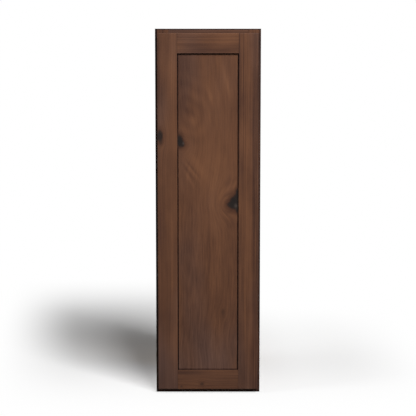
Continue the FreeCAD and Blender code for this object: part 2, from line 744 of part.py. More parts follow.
def run(start, end, thickness, width):
    """Return a round-ended bar from one point of the hinge's plane to another."""
    along = (end - start).normalize() * (thickness / 2)
    aside = Vector(-along.y, along.x)
    edges = [
        Part.LineSegment(start - aside, end - aside),
        Part.Arc(end - aside, end + along, end + aside),
        Part.LineSegment(end + aside, start + aside),
        Part.Arc(start + aside, start - along, start - aside),
    ]
    outline = Part.Face(Part.Wire([edge.toShape() for edge in edges]))
    outline.translate(Vector(0, 0, -width / 2))
    return outline.extrude(Vector(0, 0, width))


def strap(points, thickness, width):
    """Return a bent strap that follows points in the hinge's plane."""
    runs = [run(start, end, thickness, width) for start, end in zip(points, points[1:])]
    return runs[0].multiFuse(runs[1:]) if len(runs) > 1 else runs[0]


def eye(centre, diameter, width):
    """Return a round boss or hole about a pin."""
    return Part.makeCylinder(diameter / 2, width, centre - Vector(0, 0, width / 2))


def hinge_link_shape():
    """Return the gooseneck link between the arm and the cup."""
    cup_pin = pin_point("cup_link")
    arm_pin = pin_point("arm_link")
    bend = cup_pin + Vector(value("link_root_length"), -value("link_root_drop"))
    width = value("link_width")
    solid = strap([cup_pin, bend, arm_pin], value("link_thickness"), width)
    for centre in (cup_pin, arm_pin):
        solid = solid.fuse(eye(centre, value("link_eye_diameter"), width))
    for centre in (cup_pin, arm_pin):
        solid = solid.cut(eye(centre, value("link_pin_diameter + 2 * pin_running_clearance"), width))
    return solid.removeSplitter()


def hinge_lever_shape():
    """Return the forked lever, pinned in the cup and slotted over the arm's second pin."""
    cup_pin = pin_point("cup_lever")
    arm_pin = pin_point("arm_lever")
    bend = Vector(value(f"{OVERLAY} - lever_bend_inset"), value("door_gap - lever_bend_clearance"))
    pull = (arm_pin - cup_pin).normalize() * value("lever_slot_travel")
    slot_line = [arm_pin - pull, arm_pin]
    slot_width = value("lever_pin_diameter + 2 * lever_slot_play")
    inside = value("link_width + 2 * lever_side_play")
    width = inside + 2 * value("lever_ear_thickness")
    solid = strap([cup_pin, bend, arm_pin], value("lever_thickness"), width)
    solid = solid.fuse(strap(slot_line, slot_width + 2 * value("lever_slot_wall"), width))
    solid = solid.fuse(eye(cup_pin, value("lever_eye_diameter"), width))
    solid = solid.cut(strap(slot_line, slot_width, width))
    solid = solid.cut(eye(cup_pin, value("lever_pin_diameter + 2 * pin_running_clearance"), width))
    reach = arm_pin.x + slot_width / 2
    height = value("cabinet_depth")
    fork = Part.makeBox(reach, height, inside, Vector(0, -height / 2, -inside / 2))
    return solid.cut(fork).removeSplitter()


def moving_piece(name, shape, height):
    """Add a linkage piece at one hinge."""
    piece = doc.addObject("Part::Feature", name)
    piece.Shape = shape
    piece.Placement = Placement(Vector(value(DOOR_LEFT), value(DOOR_REAR), value(height)), Rotation())
    return node(name, piece)


def screw(name, shank, shank_length, head, head_height, start, inward, outward):
    """Make a screw with a flat round head on the surface that it starts from."""
    shaft = rod(f"{name}_shank", shank, shank_length, start, inward)
    cap = rod(f"{name}_head", head, head_height, start, outward)
    return fused(name, [shaft, cap])


def hinge_screws():
    """Make the screws of the cups, the plates and the arms."""
    cup_screws = []
    plate_screws = []
    arm_screws = []
    for level, height in HINGE_HEIGHTS.items():
        for x, y, z in cup_screw_starts(height):
            seat = (x, f"{y} + flange_thickness", z)
            cup_screws.append(screw(f"{level}_cup_screw", "wood_screw_diameter", "cup_screw_length",
                                    "wood_screw_head_diameter", "cup_screw_head", seat, "-y", "+y"))
        for x, y, z in plate_screw_starts(height):
            seat = (f"{x} + plate_thickness", y, z)
            plate_screws.append(screw(f"{level}_plate_screw", "wood_screw_diameter", "plate_screw_length",
                                      "wood_screw_head_diameter", "plate_screw_head", seat, "-x", "+x"))
        seat = (f"{DOOR_LEFT} + {OVERLAY} + arm_height", f"{DOOR_REAR} + {BOSS_DEPTH}", height)
        arm_screws.append(screw(f"{level}_arm_screw", "arm_screw_diameter", "arm_screw_length",
                                "arm_screw_head_diameter", "arm_screw_head", seat, "-x", "+x"))
    node("hinge_cup_screws", group("cup_screws", cup_screws))
    node("hinge_plate_screws", group("plate_screws", plate_screws))
    node("hinge_arm_screws", group("arm_screws", arm_screws))


def hinge_pins():
    """Make the pins of the three hinges; the link swings between the two stubs that carry the lever."""
    arm_pin_length = f"{ARM_WIDTH} + 2 * pin_rivet"
    kinds = {
        "arm_link": ("link_pin_diameter", arm_pin_length),
        "arm_lever": ("lever_pin_diameter", arm_pin_length),
        "cup_link": ("link_pin_diameter", "cup_pin_length"),
    }
    for which, (diameter, length) in kinds.items():
        pins = [cross_rod(f"{level}_{which}_pin", diameter, length, *pin_at(which), height)
                for level, height in HINGE_HEIGHTS.items()]
        node(f"{which}_pins", group(f"{which}_pin_set", pins))

    stub_start = "((link_width + lever_side_play) / 2)"
    stub_length = f"(cup_pin_length / 2 - {stub_start})"
    stubs = []
    for level, height in HINGE_HEIGHTS.items():
        for sign in (-1, 1):
            middle = f"{height} + {sign} * ({stub_start} + {stub_length} / 2)"
            stubs.append(cross_rod(f"{level}_stub", "lever_pin_diameter", stub_length, *pin_at("cup_lever"), middle))
    node("cup_lever_pins", group("cup_lever_stubs", stubs))


def hinge_springs():
    """Make the bowed leaf spring on the floor of each cup, which snaps the door shut."""
    floor = f"({DOOR_REAR} - cup_depth + cup_floor)"
    centre_y = f"({floor} + spring_rise - spring_radius)"
    springs = []
    for level, height in HINGE_HEIGHTS.items():
        outer = cross_rod(f"{level}_bow", "2 * spring_radius", "spring_width", CUP_X, centre_y, height)
        inner = cross_rod(f"{level}_bow_inside", "2 * (spring_radius - spring_thickness)", "spring_width",
                          CUP_X, centre_y, height)
        window = block(f"{level}_bow_window", (f"{CUP_X} - cup_diameter / 2", f"{CUP_X} + cup_diameter / 2"),
                       (floor, DOOR_REAR), (f"{height} - spring_width / 2", f"{height} + spring_width / 2"))
        leaf = doc.addObject("Part::Common", f"{level}_leaf")
        leaf.Base = without(f"{level}_bow_ring", outer, [inner])
        leaf.Tool = window
        springs.append(leaf)
    node("hinge_springs", group("springs", springs))


def hinges():
    """Make the three hinges."""
    for level, height in HINGE_HEIGHTS.items():
        hinge_cup(level, height)
        hinge_plate(level, height)
        hinge_arm(level, height)
        moving_piece(f"{level}_hinge_link", hinge_link_shape(), height)
        moving_piece(f"{level}_hinge_lever", hinge_lever_shape(), height)
    hinge_pins()
    hinge_springs()
    hinge_screws()


def check_and_write():
    """Stop at any failed object, then write each piece to its own file."""
    doc.recompute()
    failed = [item.Name for item in doc.Objects if "Invalid" in item.State or "Error" in item.State]
    if failed:
        raise RuntimeError(f"failed objects: {failed}")
    for name, item in NODES.items():
        if item.Shape.isNull() or not item.Shape.isValid() or not item.Shape.Solids:
            raise RuntimeError(f"{name} has no valid solid")
    for name, item in NODES.items():
        item.Shape.exportStep(f"parts/{name}.step")
    print(f"{len(NODES)} pieces written")


box_boards()
corner_blocks()
face_frame()
for shelf_level in ("lower", "middle", "upper"):
    shelf(shelf_level)
door()
hinges()
check_and_write()
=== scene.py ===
"""Looks of a framed kitchen wall cabinet.

The door and the face frame are knotty alder under a dark stain, the box is pale wood with a clear
finish, and the door hangs on three concealed hinges.
"""

import logging
import math
from abc import ABC, abstractmethod
from collections.abc import Callable, Iterable, Mapping, Sequence
from dataclasses import dataclass, field, replace
from enum import Enum, IntEnum

import bmesh
import bpy
from mathutils import Matrix, Vector


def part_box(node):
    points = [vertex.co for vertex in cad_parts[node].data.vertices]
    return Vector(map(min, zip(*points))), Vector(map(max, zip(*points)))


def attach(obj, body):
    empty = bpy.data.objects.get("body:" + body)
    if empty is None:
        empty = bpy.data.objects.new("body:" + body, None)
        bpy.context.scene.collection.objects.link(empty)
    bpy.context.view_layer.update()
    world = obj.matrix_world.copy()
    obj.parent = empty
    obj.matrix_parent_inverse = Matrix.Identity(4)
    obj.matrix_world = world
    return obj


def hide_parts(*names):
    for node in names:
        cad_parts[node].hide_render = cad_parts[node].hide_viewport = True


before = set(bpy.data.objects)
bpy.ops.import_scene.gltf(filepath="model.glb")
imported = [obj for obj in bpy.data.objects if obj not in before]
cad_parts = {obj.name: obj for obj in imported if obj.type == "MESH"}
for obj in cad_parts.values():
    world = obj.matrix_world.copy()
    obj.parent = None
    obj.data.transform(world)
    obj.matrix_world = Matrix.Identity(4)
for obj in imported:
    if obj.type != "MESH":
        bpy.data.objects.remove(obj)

log = logging.getLogger("wall_cabinet")

MM = 0.001
LEVELS = ("lower", "middle", "upper")
SHELF_SEEDS = (61.0, 67.0, 73.0)
RIGHTWARD = Vector((1.0, 0.0, 0.0))
REARWARD = Vector((0.0, 1.0, 0.0))
UPWARD = Vector((0.0, 0.0, 1.0))
NOISE_MEAN = 0.5
BUMP_STRENGTH = 0.6
FACING = (0.4, 0.7)
LEVEL_FACE = 0.9
WELD_DISTANCE = 0.001 * MM
SMOOTH_ANGLE = math.radians(35.0)
SLOT_TAPER = 0.6

Band = tuple[float, float]
Colour = tuple[float, float, float]
Stops = tuple[tuple[float, Colour], ...]
Socket = bpy.types.NodeSocket
Settings = Mapping[str, object]
Sockets = Mapping[str | int, object]


class Axis(IntEnum):
    """An axis of the shared frame."""

    X = 0
    Y = 1
    Z = 2


class Grain(Enum):
    """Which axes run across a board's face, along its grain and through its thickness."""

    UPRIGHT = (Axis.X, Axis.Z, Axis.Y)
    LEVEL = (Axis.Z, Axis.X, Axis.Y)
    SIDEWALL = (Axis.Y, Axis.Z, Axis.X)
    SHELF = (Axis.Y, Axis.X, Axis.Z)


class End(Enum):
    """An end of an upright rod, by the way that it looks along z."""

    TOP = 1
    FOOT = -1


class Slot(Enum):
    """The record's material slots that new pieces take their finish from."""

    ZINC = "zinc_steel"
    BUMPER = "bumper_plastic"


class Signal:
    """A number that varies over a surface, held as a shader node's output socket."""

    def __init__(self, graph: "Graph", socket: Socket) -> None:
        """Hold a socket and the graph that it belongs to."""
        self.graph = graph
        self.socket = socket

    def __add__(self, other: "Signal | float") -> "Signal":
        """Return the sum."""
        return self.graph.math("ADD", self, other)

    def __radd__(self, other: float) -> "Signal":
        """Return the sum with a number on the left."""
        return self.graph.math("ADD", other, self)

    def __sub__(self, other: "Signal | float") -> "Signal":
        """Return the difference."""
        return self.graph.math("SUBTRACT", self, other)

    def __rsub__(self, other: float) -> "Signal":
        """Return a number less this signal."""
        return self.graph.math("SUBTRACT", other, self)

    def __mul__(self, other: "Signal | float") -> "Signal":
        """Return the product."""
        return self.graph.math("MULTIPLY", self, other)

    def __rmul__(self, other: float) -> "Signal":
        """Return the product with a number on the left."""
        return self.graph.math("MULTIPLY", other, self)

    def __abs__(self) -> "Signal":
        """Return the size without the sign."""
        return self.graph.math("ABSOLUTE", self)

    @property
    def swing(self) -> "Signal":
        """Return noise less its mean."""
        return self - NOISE_MEAN


@dataclass(frozen=True)
class Layer:
    """What one finish shows over a surface."""

    colour: Socket
    roughness: Signal
    relief: Signal


@dataclass(frozen=True)
class Strand:
    """Cloud noise: its changes per metre each way, its shares, its octaves and how a seed shifts it."""

    across: float
    along: float
    through: float
    gain: float = 1.0
    relief: float = 1.0
    detail: float = 2.0
    roughness: float = 0.5
    shift: tuple[float, float, float] = (0.0, 0.0, 1.0)

    def drawn(self, stroke: float) -> "Strand":
        """Return the noise with some times as many changes along the grain."""
        return replace(self, along=stroke * self.along)


@dataclass(frozen=True)
class Oval:
    """An oval on a board's face, in metres across and along the grain, which may lean by radians."""

    across: float
    along: float
    half_width: float
    half_length: float
    lean: float = field(default=0.0, kw_only=True)

    def swollen(self, factor: float) -> "Oval":
        """Return the upright oval that is some times as large."""
        return Oval(self.across, self.along, factor * self.half_width, factor * self.half_length)


@dataclass(frozen=True)
class Patch(Oval):
    """A soft place on a board that is lighter or darker, or greyer or redder."""

    gain: float


class Graph:
    """The node tree of one material or of the surroundings."""

    def __init__(self, owner: bpy.types.Material | bpy.types.World) -> None:
        """Start an empty tree.

        Args:
            owner: What the tree belongs to.
        """
        owner.use_nodes = True
        self.owner = owner
        self.tree = owner.node_tree
        self.tree.nodes.clear()

    @classmethod
    def of_material(cls, name: str) -> "Graph":
        """Return the empty tree of a new material."""
        return cls(bpy.data.materials.new(name))

    def feed(self, target: Socket, value: object) -> None:
        """Link or set one input socket.

        Args:
            target: The input socket.
            value: A signal, a socket, a number or a tuple of numbers.
        """
        if isinstance(value, Signal):
            self.tree.links.new(value.socket, target)
        elif isinstance(value, Socket):
            self.tree.links.new(value, target)
        elif target.type == "RGBA":
            target.default_value = (*value, 1.0)
        else:
            target.default_value = value

    def node(
        self, kind: str, settings: Settings | None = None, sockets: Sockets | None = None
    ) -> bpy.types.Node:
        """Add one node.

        Args:
            kind: The node's type.
            settings: Its properties, and a ramp's stops as pairs of place and colour.
            sockets: Values or links for its inputs, by name or number.

        Returns:
            The new node.
        """
        made = self.tree.nodes.new(kind)
        for name, value in (settings or {}).items():
            if name == "stops":
                self.set_stops(made.color_ramp, value)
            else:
                setattr(made, name, value)
        for key, value in (sockets or {}).items():
            self.feed(made.inputs[key], value)
        return made

    @staticmethod
    def set_stops(ramp: bpy.types.ColorRamp, stops: Stops) -> None:
        """Give a ramp its stops.

        Args:
            ramp: The ramp, with its two first stops.
            stops: Pairs of place and colour, lowest first.
        """
        while len(ramp.elements) < len(stops):
            ramp.elements.new(1.0)
        for element, (place, colour) in zip(ramp.elements, stops):
            element.position = place
            element.color = (*colour, 1.0)

    def result(self, kind: str, settings: Settings, sockets: Sockets) -> Signal:
        """Add one node and return its first output as a signal."""
        return Signal(self, self.node(kind, settings, sockets).outputs[0])

    def math(self, operation: str, *values: "Signal | float") -> Signal:
        """Add a Math node and return its result."""
        return self.result("ShaderNodeMath", {"operation": operation}, dict(enumerate(values)))

    def coordinates(self, output: str = "Object") -> Socket:
        """Return the object coordinates, or the object's normals."""
        return self.node("ShaderNodeTexCoord").outputs[output]

    def axes(self, output: str = "Object") -> tuple[Signal, Signal, Signal]:
        """Return the x, y and z of the object coordinates, or of the object's normals."""
        parts = self.node("ShaderNodeSeparateXYZ", {}, {0: self.coordinates(output)}).outputs
        return tuple(Signal(self, part) for part in parts)

    def vector(self, x: "Signal | float", y: "Signal | float", z: "Signal | float") -> Socket:
        """Return a vector of three numbers."""
        return self.node("ShaderNodeCombineXYZ", {}, {0: x, 1: y, 2: z}).outputs[0]

    def noise(self, place: Socket, strand: Strand, seed: float = 0.0) -> Signal:
        """Draw cloud noise.

        Args:
            place: The places across, along and through.
            strand: How the noise is drawn out.
            seed: What it is shifted by.

        Returns:
            The noise, from about 0 to 1.
        """
        mapping = {
            "Vector": place,
            "Location": tuple(seed * part for part in strand.shift),
            "Scale": (strand.across, strand.along, strand.through),
        }
        drawn = self.node("ShaderNodeMapping", {"vector_type": "POINT"}, mapping).outputs[0]
        octaves = {"Vector": drawn, "Scale": 1.0, "Detail": strand.detail, "Roughness": strand.roughness}
        return self.result("ShaderNodeTexNoise", {}, octaves)

    def rise(self, value: Signal, low: float, high: float) -> Signal:
        """Return a smooth step from 0 at the low end to 1 at the high end."""
        ends = {"Value": value, "From Min": low, "From Max": high}
        return self.result("ShaderNodeMapRange", {"interpolation_type": "SMOOTHSTEP"}, ends)

    def reach(self, place: Socket, oval: Oval) -> Signal:
        """Measure how far places lie from the middle of an oval.

        Args:
            place: The places on the face, across and along.
            oval: The oval.

        Returns:
            The distance, which is 1 on the oval.
        """
        mapping = {
            "Vector": place,
            "Location": (oval.across, oval.along, 0.0),
            "Rotation": (0.0, 0.0, oval.lean),
            "Scale": (oval.half_width, oval.half_length, 1.0),
        }
        local = self.node("ShaderNodeMapping", {"vector_type": "TEXTURE"}, mapping).outputs[0]
        length = self.node("ShaderNodeVectorMath", {"operation": "LENGTH"}, {0: local})
        return Signal(self, length.outputs["Value"])

    def bell(self, place: Socket, oval: Oval) -> Signal:
        """Return a soft round hill of height 1 over an oval."""
        distance = self.reach(place, oval)
        return self.math("EXPONENT", -1 * (distance * distance))

    def patched(self, value: Signal, place: Socket, patches: Iterable[Patch]) -> Signal:
        """Add soft patches to a value.

        Args:
            value: The value without them.
            place: The places on the face, across and along.
            patches: The patches.

        Returns:
            The value with them.
        """
        for patch in patches:
            value = value + patch.gain * self.bell(place, patch)
        return value

    def mix(self, factor: Signal, first: Socket | Colour, second: Socket | Colour) -> Socket:
        """Return a colour between two."""
        made = self.node("ShaderNodeMix", {"data_type": "RGBA"}, {0: factor, 6: first, 7: second})
        return made.outputs[2]

    def ramp(self, value: Signal, stops: Stops) -> Socket:
        """Return the colour that a ramp has at a value."""
        return self.node("ShaderNodeValToRGB", {"stops": stops}, {0: value}).outputs[0]

    def blend(self, mask: Signal, first: Layer, second: Layer) -> Layer:
        """Lay one finish over another.

        Args:
            mask: Where the second finish shows, from 0 to 1.
            first: The finish below.
            second: The finish above.

        Returns:
            The finish that shows.
        """
        return Layer(
            self.mix(mask, first.colour, second.colour),
            first.roughness + mask * (second.roughness - first.roughness),
            first.relief + mask * (second.relief - first.relief),
        )

    def surface(self, layer: Layer, depth: float, constants: Mapping[str, float]) -> bpy.types.Material:
        """End the tree in a surface shader.

        Args:
            layer: The finish that shows.
            depth: How deep its relief is, in metres.
            constants: Values for the shader's other sockets.

        Returns:
            The finished material.
        """
        relief = {"Strength": BUMP_STRENGTH, "Distance": depth, "Height": layer.relief}
        normal = self.node("ShaderNodeBump", {}, relief).outputs[0]
        shown = {"Base Color": layer.colour, "Roughness": layer.roughness, "Normal": normal}
        shader = self.node("ShaderNodeBsdfPrincipled", {}, {**shown, **constants})
        self.node("ShaderNodeOutputMaterial", {}, {"Surface": shader.outputs[0]})
        return self.owner


class Board:
    """The places on a board, by the frame's axes and by its grain."""

    def __init__(self, graph: Graph, grain: Grain) -> None:
        """Read the places.

        Args:
            graph: The tree to read them in.
            grain: How the board lies.
        """
        self.axes = graph.axes()
        self.across, self.along, self.through = (self.axes[axis] for axis in grain.value)
        self.straight = graph.vector(self.across, self.along, self.through)


@dataclass(frozen=True)
class Knot(Oval):
    """A knot through a board: its darkness, how far the grain sways round it, and a pale speck."""

    darkness: float = 1.0
    sway: float = 4.0
    speck: tuple[float, float] | None = None

    pull: float = 0.85
    ragged: float = 0.8
    rags: float = 0.9
    rim: Band = (0.9, 2.5)
    rim_share: float = 0.6
    core: Band = (0.55, 1.30)
    core_share: float = 0.92
    ring_share: float = 0.08
    ring_rate: float = 16.0
    dent: float = 0.5
    speck_width: float = 0.30
    speck_length: float = 1.3
    speck_share: float = 0.6

    def reach_ragged(self, graph: Graph, face: Socket) -> Signal:
        """Measure how far places lie from the knot's middle.

        Args:
            graph: The tree to measure in.
            face: The places on the face.

        Returns:
            The distance, which is 1 on the knot's ragged outline.
        """
        rate = self.rags / self.half_width
        rags = graph.noise(face, Strand(rate, rate, rate, detail=3.0, roughness=0.6))
        return graph.reach(face, self) + self.ragged * rags.swing

    def speck_oval(self) -> Oval:
        """Return the oval of the pale speck."""
        half_width = self.speck_width * self.half_width
        return Oval(*self.speck, half_width, self.speck_length * half_width)


@dataclass(frozen=True)
class Heart(Oval):
    """A set of nested growth-ring arches on a board, which fades out towards its outline."""

    rings: float
    gain: float

    wobble: float = 0.7
    fade: Band = (0.45, 1.0)


@dataclass(frozen=True)
class Edge:
    """A darker line at one place on an axis, all round or on the front only: a dark joint, painted shade
    in a reveal, painted shade with pooled stain in a gap, or a slightly darker outline.
    """

    axis: Axis
    place: float
    width: float
    gain: float
    front_only: bool = False

    soft_from: float = 0.7


class Finish(ABC):
    """A finish that a surface can have, with the depth of its relief and its gloss."""

    name: str
    depth: float
    gloss: float = 0.5

    @abstractmethod
    def layer(self, graph: Graph) -> Layer:
        """Draw the finish in a tree and return it."""

    def constants(self) -> dict[str, float]:
        """Return the shader's values that are the same all over."""
        return {"Specular IOR Level": self.gloss}

    def material(self) -> bpy.types.Material:
        """Return the finish as a material."""
        graph = Graph.of_material(self.name)
        return graph.surface(self.layer(graph), self.depth, self.constants())


@dataclass(frozen=True)
class StainedAlder(Finish):
    """Knotty alder under a dark brown stain and satin lacquer."""

    name: str
    grain: Grain
    seed: float
    tone: float = 0.5
    meander: float = 0.03
    contrast: float = 1.0
    knots: tuple[Knot, ...] = ()
    hearts: tuple[Heart, ...] = ()
    patches: tuple[Patch, ...] = ()
    edges: tuple[Edge, ...] = ()
    # Patches that make the wood greyer or redder, among them painted reflections of the floor.
    greying_and_floor_reflection: tuple[Patch, ...] = ()
    calm: Band | None = None
    stroke: float = 1.0
    clouding: float = 0.55

    depth: float = 0.25 * MM
    gloss: float = 0.06
    drift: Strand = Strand(5.0, 2.2, 4.0)
    figure: Strand = Strand(60.0, 1.3, 25.0, gain=0.36, detail=3.0, roughness=0.55)
    streaks: Strand = Strand(210.0, 3.5, 70.0, gain=0.34, relief=0.5)
    lines: Strand = Strand(360.0, 2.6, 90.0, gain=0.32, detail=1.0, shift=(0.0, 0.0, -1.0))
    fibres: Strand = Strand(1500.0, 24.0, 300.0, gain=0.12, relief=0.5, detail=1.0)
    pores: Strand = Strand(900.0, 55.0, 200.0, gain=0.06, relief=0.4, detail=1.0)
    pore_band: Band = (0.64, 0.76)
    cloud: Strand = Strand(11.0, 5.0, 6.0, detail=3.0, shift=(1.0, 0.0, 0.0))
    grey: Strand = Strand(14.0, 4.0, 6.0, gain=1.2)
    greyness: float = 0.18
    calming: float = 0.45
    roughness: float = 0.46
    streak_gloss: float = 0.10
    cloud_gloss: float = 0.06
    stain: Stops = (
        (0.00, (0.009, 0.003, 0.002)),
        (0.22, (0.055, 0.025, 0.017)),
        (0.50, (0.127, 0.056, 0.030)),
        (0.78, (0.188, 0.083, 0.041)),
        (1.00, (0.258, 0.124, 0.062)),
    )
    # Colours of greyer wood, for the wood's own greyer tone and for the painted reflection of the floor.
    greyed_colours: Stops = (
        (0.00, (0.008, 0.004, 0.003)),
        (0.22, (0.049, 0.026, 0.021)),
        (0.50, (0.101, 0.055, 0.042)),
        (0.78, (0.158, 0.088, 0.063)),
        (1.00, (0.227, 0.129, 0.090)),
    )
    knot_core: Colour = (0.016, 0.013, 0.012)
    knot_rim: Colour = (0.052, 0.023, 0.015)
    knot_speck: Colour = (0.075, 0.058, 0.050)

    def layer(self, graph: Graph) -> Layer:
        """Draw the stained wood.

        Args:
            graph: The tree to draw it in.

        Returns:
            The stained finish.
        """
        board = Board(graph, self.grain)
        face = graph.vector(board.across, board.along, 0.0)
        line = self.grain_line(graph, board, face)
        bent = graph.vector(line, board.along, board.through)
        figure = graph.noise(bent, self.figure, self.seed)
        streaks = graph.noise(bent, self.streaks.drawn(self.stroke), self.seed)
        lines = graph.noise(bent, self.lines.drawn(self.stroke), self.seed)
        fibres = graph.noise(bent, self.fibres, self.seed)
        pores = graph.rise(graph.noise(bent, self.pores), *self.pore_band)
        cloud = graph.noise(board.straight, self.cloud, self.seed)

        grain = self.figure.gain * figure.swing + self.streaks.gain * streaks.swing
        grain = grain + self.lines.gain * lines.swing + self.fibres.gain * fibres.swing
        grain = grain - self.pores.gain * pores
        if self.calm:
            grain = grain * (1 - self.calming * graph.rise(board.along, *self.calm))
        tone = self.tone + self.contrast * grain + self.clouding * cloud.swing
        tone = self.draw_hearts(graph, graph.vector(line, board.along, 0.0), cloud, tone)
        tone = graph.patched(tone, face, self.patches)
        tone = self.draw_edges(graph, board, tone)
        grey = self.greyness + self.grey.gain * graph.noise(board.straight, self.grey, self.seed).swing
        # The greyer patches at the bottoms of the door's boards are a painted reflection of the white
        # floor; the other patches are the wood's own greyer or redder tone.
        grey = graph.rise(graph.patched(grey, face, self.greying_and_floor_reflection), 0.0, 1.0)
        colour = graph.mix(grey, graph.ramp(tone, self.stain), graph.ramp(tone, self.greyed_colours))

        roughness = self.roughness - self.streak_gloss * streaks.swing - self.cloud_gloss * cloud.swing
        relief = self.streaks.relief * streaks + self.fibres.relief * fibres - self.pores.relief * pores
        colour, relief = self.draw_knots(graph, face, colour, relief)
        return Layer(colour, roughness, relief)

    def grain_line(self, graph: Graph, board: Board, face: Socket) -> Signal:
        """Work out which grain line runs through each place, bent by drift and round the knots.

        Args:
            graph: The tree to draw in.
            board: The places on the board.
            face: The places on its face.

        Returns:
            The grain line's own place across the board.
        """
        line = board.across + self.meander * graph.noise(board.straight, self.drift, self.seed).swing
        for knot in self.knots:
            pull = graph.bell(face, knot.swollen(knot.sway))
            line = line - knot.pull * pull * (board.across - knot.across)
        return line

    def draw_hearts(self, graph: Graph, bent: Socket, cloud: Signal, tone: Signal) -> Signal:
        """Draw the nested arches.

        Args:
            graph: The tree to draw in.
            bent: The places on the face, by the bent grain.
            cloud: Broad noise that makes the arches uneven.
            tone: The tone of the wood without them.

        Returns:
            The tone with them.
        """
        for heart in self.hearts:
            distance = graph.reach(bent, heart)
            turns = 2 * math.pi * heart.rings * (distance + heart.wobble * cloud.swing)
            wave = graph.math("SINE", turns)
            tone = tone + heart.gain * wave * (1 - graph.rise(distance, *heart.fade))
        return tone

    def draw_edges(self, graph: Graph, board: Board, tone: Signal) -> Signal:
        """Draw the darker lines: dark joints, painted shade in the reveals, painted shade with pooled
        stain in the gaps, and slightly darker outlines.

        Args:
            graph: The tree to draw in.
            board: The places on the board.
            tone: The tone of the wood without them.

        Returns:
            The tone with them.
        """
        front = graph.rise(-1 * graph.axes("Normal")[Axis.Y], *FACING)
        for edge in self.edges:
            distance = abs(board.axes[edge.axis] - edge.place)
            line = edge.gain * (1 - graph.rise(distance, edge.soft_from * edge.width, edge.width))
            tone = tone + (line * front if edge.front_only else line)
        return tone

    def draw_knots(
        self, graph: Graph, face: Socket, colour: Socket, relief: Signal
    ) -> tuple[Socket, Signal]:
        """Draw the knots: first the rims, then the ringed cores, then the pale specks.

        Args:
            graph: The tree to draw in.
            face: The places on the face.
            colour: The colour of the wood round them.
            relief: The relief of the wood round them.

        Returns:
            The colour and the relief with the knots.
        """
        reaches = [knot.reach_ragged(graph, face) for knot in self.knots]
        for knot, distance in zip(self.knots, reaches):
            rim = knot.darkness * (1 - graph.rise(distance, *knot.rim))
            colour = graph.mix(knot.rim_share * rim, colour, self.knot_rim)
        for knot, distance in zip(self.knots, reaches):
            rings = graph.math("SINE", distance * knot.ring_rate)
            core = knot.darkness * (1 - graph.rise(distance, *knot.core))
            share = (knot.core_share + knot.ring_share * rings) * core
            colour = graph.mix(share, colour, self.knot_core)
            relief = relief - knot.dent * core
        for knot in self.knots:
            if knot.speck:
                speck = graph.bell(face, knot.speck_oval())
                colour = graph.mix(knot.speck_share * speck, colour, self.knot_speck)
        return colour, relief


@dataclass(frozen=True)
class PaleWood(Finish):
    """Pale wood with a clear finish or none, solid or in plies."""

    name: str
    grain: Grain
    seed: float
    stops: Stops = (
        (0.00, (0.300, 0.170, 0.080)),
        (0.35, (0.520, 0.350, 0.190)),
        (0.65, (0.610, 0.440, 0.260)),
        (1.00, (0.700, 0.540, 0.350)),
    )
    roughness: float = 0.40
    ply: float = 0.0

    depth: float = 0.15 * MM
    gloss: float = 0.30
    drift: Strand = Strand(6.0, 1.8, 30.0)
    figure: Strand = Strand(45.0, 1.1, 30.0, gain=0.55, detail=3.0, roughness=0.6)
    streaks: Strand = Strand(300.0, 5.0, 90.0, gain=0.30)
    flecks: Strand = Strand(700.0, 60.0, 300.0, gain=0.12, relief=0.3, detail=1.0)
    fleck_band: Band = (0.66, 0.78)
    meander: float = 0.05
    tone: float = 0.55
    streak_gloss: float = 0.12
    ply_colours: tuple[Colour, Colour] = ((0.560, 0.400, 0.230), (0.330, 0.200, 0.100))
    ply_band: Band = (-0.25, 0.25)
    ply_wobble: float = 0.8
    ply_roughness: float = 0.75
    core_roughness: float = 0.10
    core_relief: float = 0.6

    def layer(self, graph: Graph) -> Layer:
        """Draw the pale wood, with its plies on the cut edges.

        Args:
            graph: The tree to draw it in.

        Returns:
            The pale finish.
        """
        board = Board(graph, self.grain)
        line = board.across + self.meander * graph.noise(board.straight, self.drift, self.seed).swing
        bent = graph.vector(line, board.along, board.through)
        figure = graph.noise(bent, self.figure, self.seed)
        streaks = graph.noise(bent, self.streaks, self.seed)
        flecks = graph.rise(graph.noise(bent, self.flecks), *self.fleck_band)
        tone = self.tone + self.figure.gain * figure.swing + self.streaks.gain * streaks.swing
        wood = Layer(
            graph.ramp(tone - self.flecks.gain * flecks, self.stops),
            self.roughness + self.streak_gloss * streaks.swing,
            streaks - self.flecks.relief * flecks,
        )
        if not self.ply:
            return wood
        thickness = self.grain.value[2]
        cut = 1 - graph.rise(abs(graph.axes("Normal")[thickness]), *FACING)
        return graph.blend(cut, wood, self.ply_layer(graph, board.through, streaks))

    def ply_layer(self, graph: Graph, through: Signal, streaks: Signal) -> Layer:
        """Draw the plies of a cut edge.

        Args:
            graph: The tree to draw in.
            through: The places through the thickness.
            streaks: Fine streaks of the wood.

        Returns:
            The cut edge's finish.
        """
        wave = graph.math("SINE", through * (math.pi / self.ply))
        core = graph.rise(wave + self.ply_wobble * streaks.swing, *self.ply_band)
        roughness = self.ply_roughness + self.core_roughness * core
        return Layer(graph.mix(core, *self.ply_colours), roughness, self.core_relief * core)


@dataclass(frozen=True)
class TwoFacedBoard(Finish):
    """A side of the box: stained outside, clear-finished inside, plies on its cut edges."""

    name: str
    outside: StainedAlder
    inside: PaleWood
    outward: float

    depth: float = 0.2 * MM
    gloss: float = 0.25

    def layer(self, graph: Graph) -> Layer:
        """Draw both faces and return the finish that shows on each."""
        outer = graph.rise(self.outward * graph.axes("Normal")[self.inside.grain.value[2]], *FACING)
        return graph.blend(outer, self.inside.layer(graph), self.outside.layer(graph))


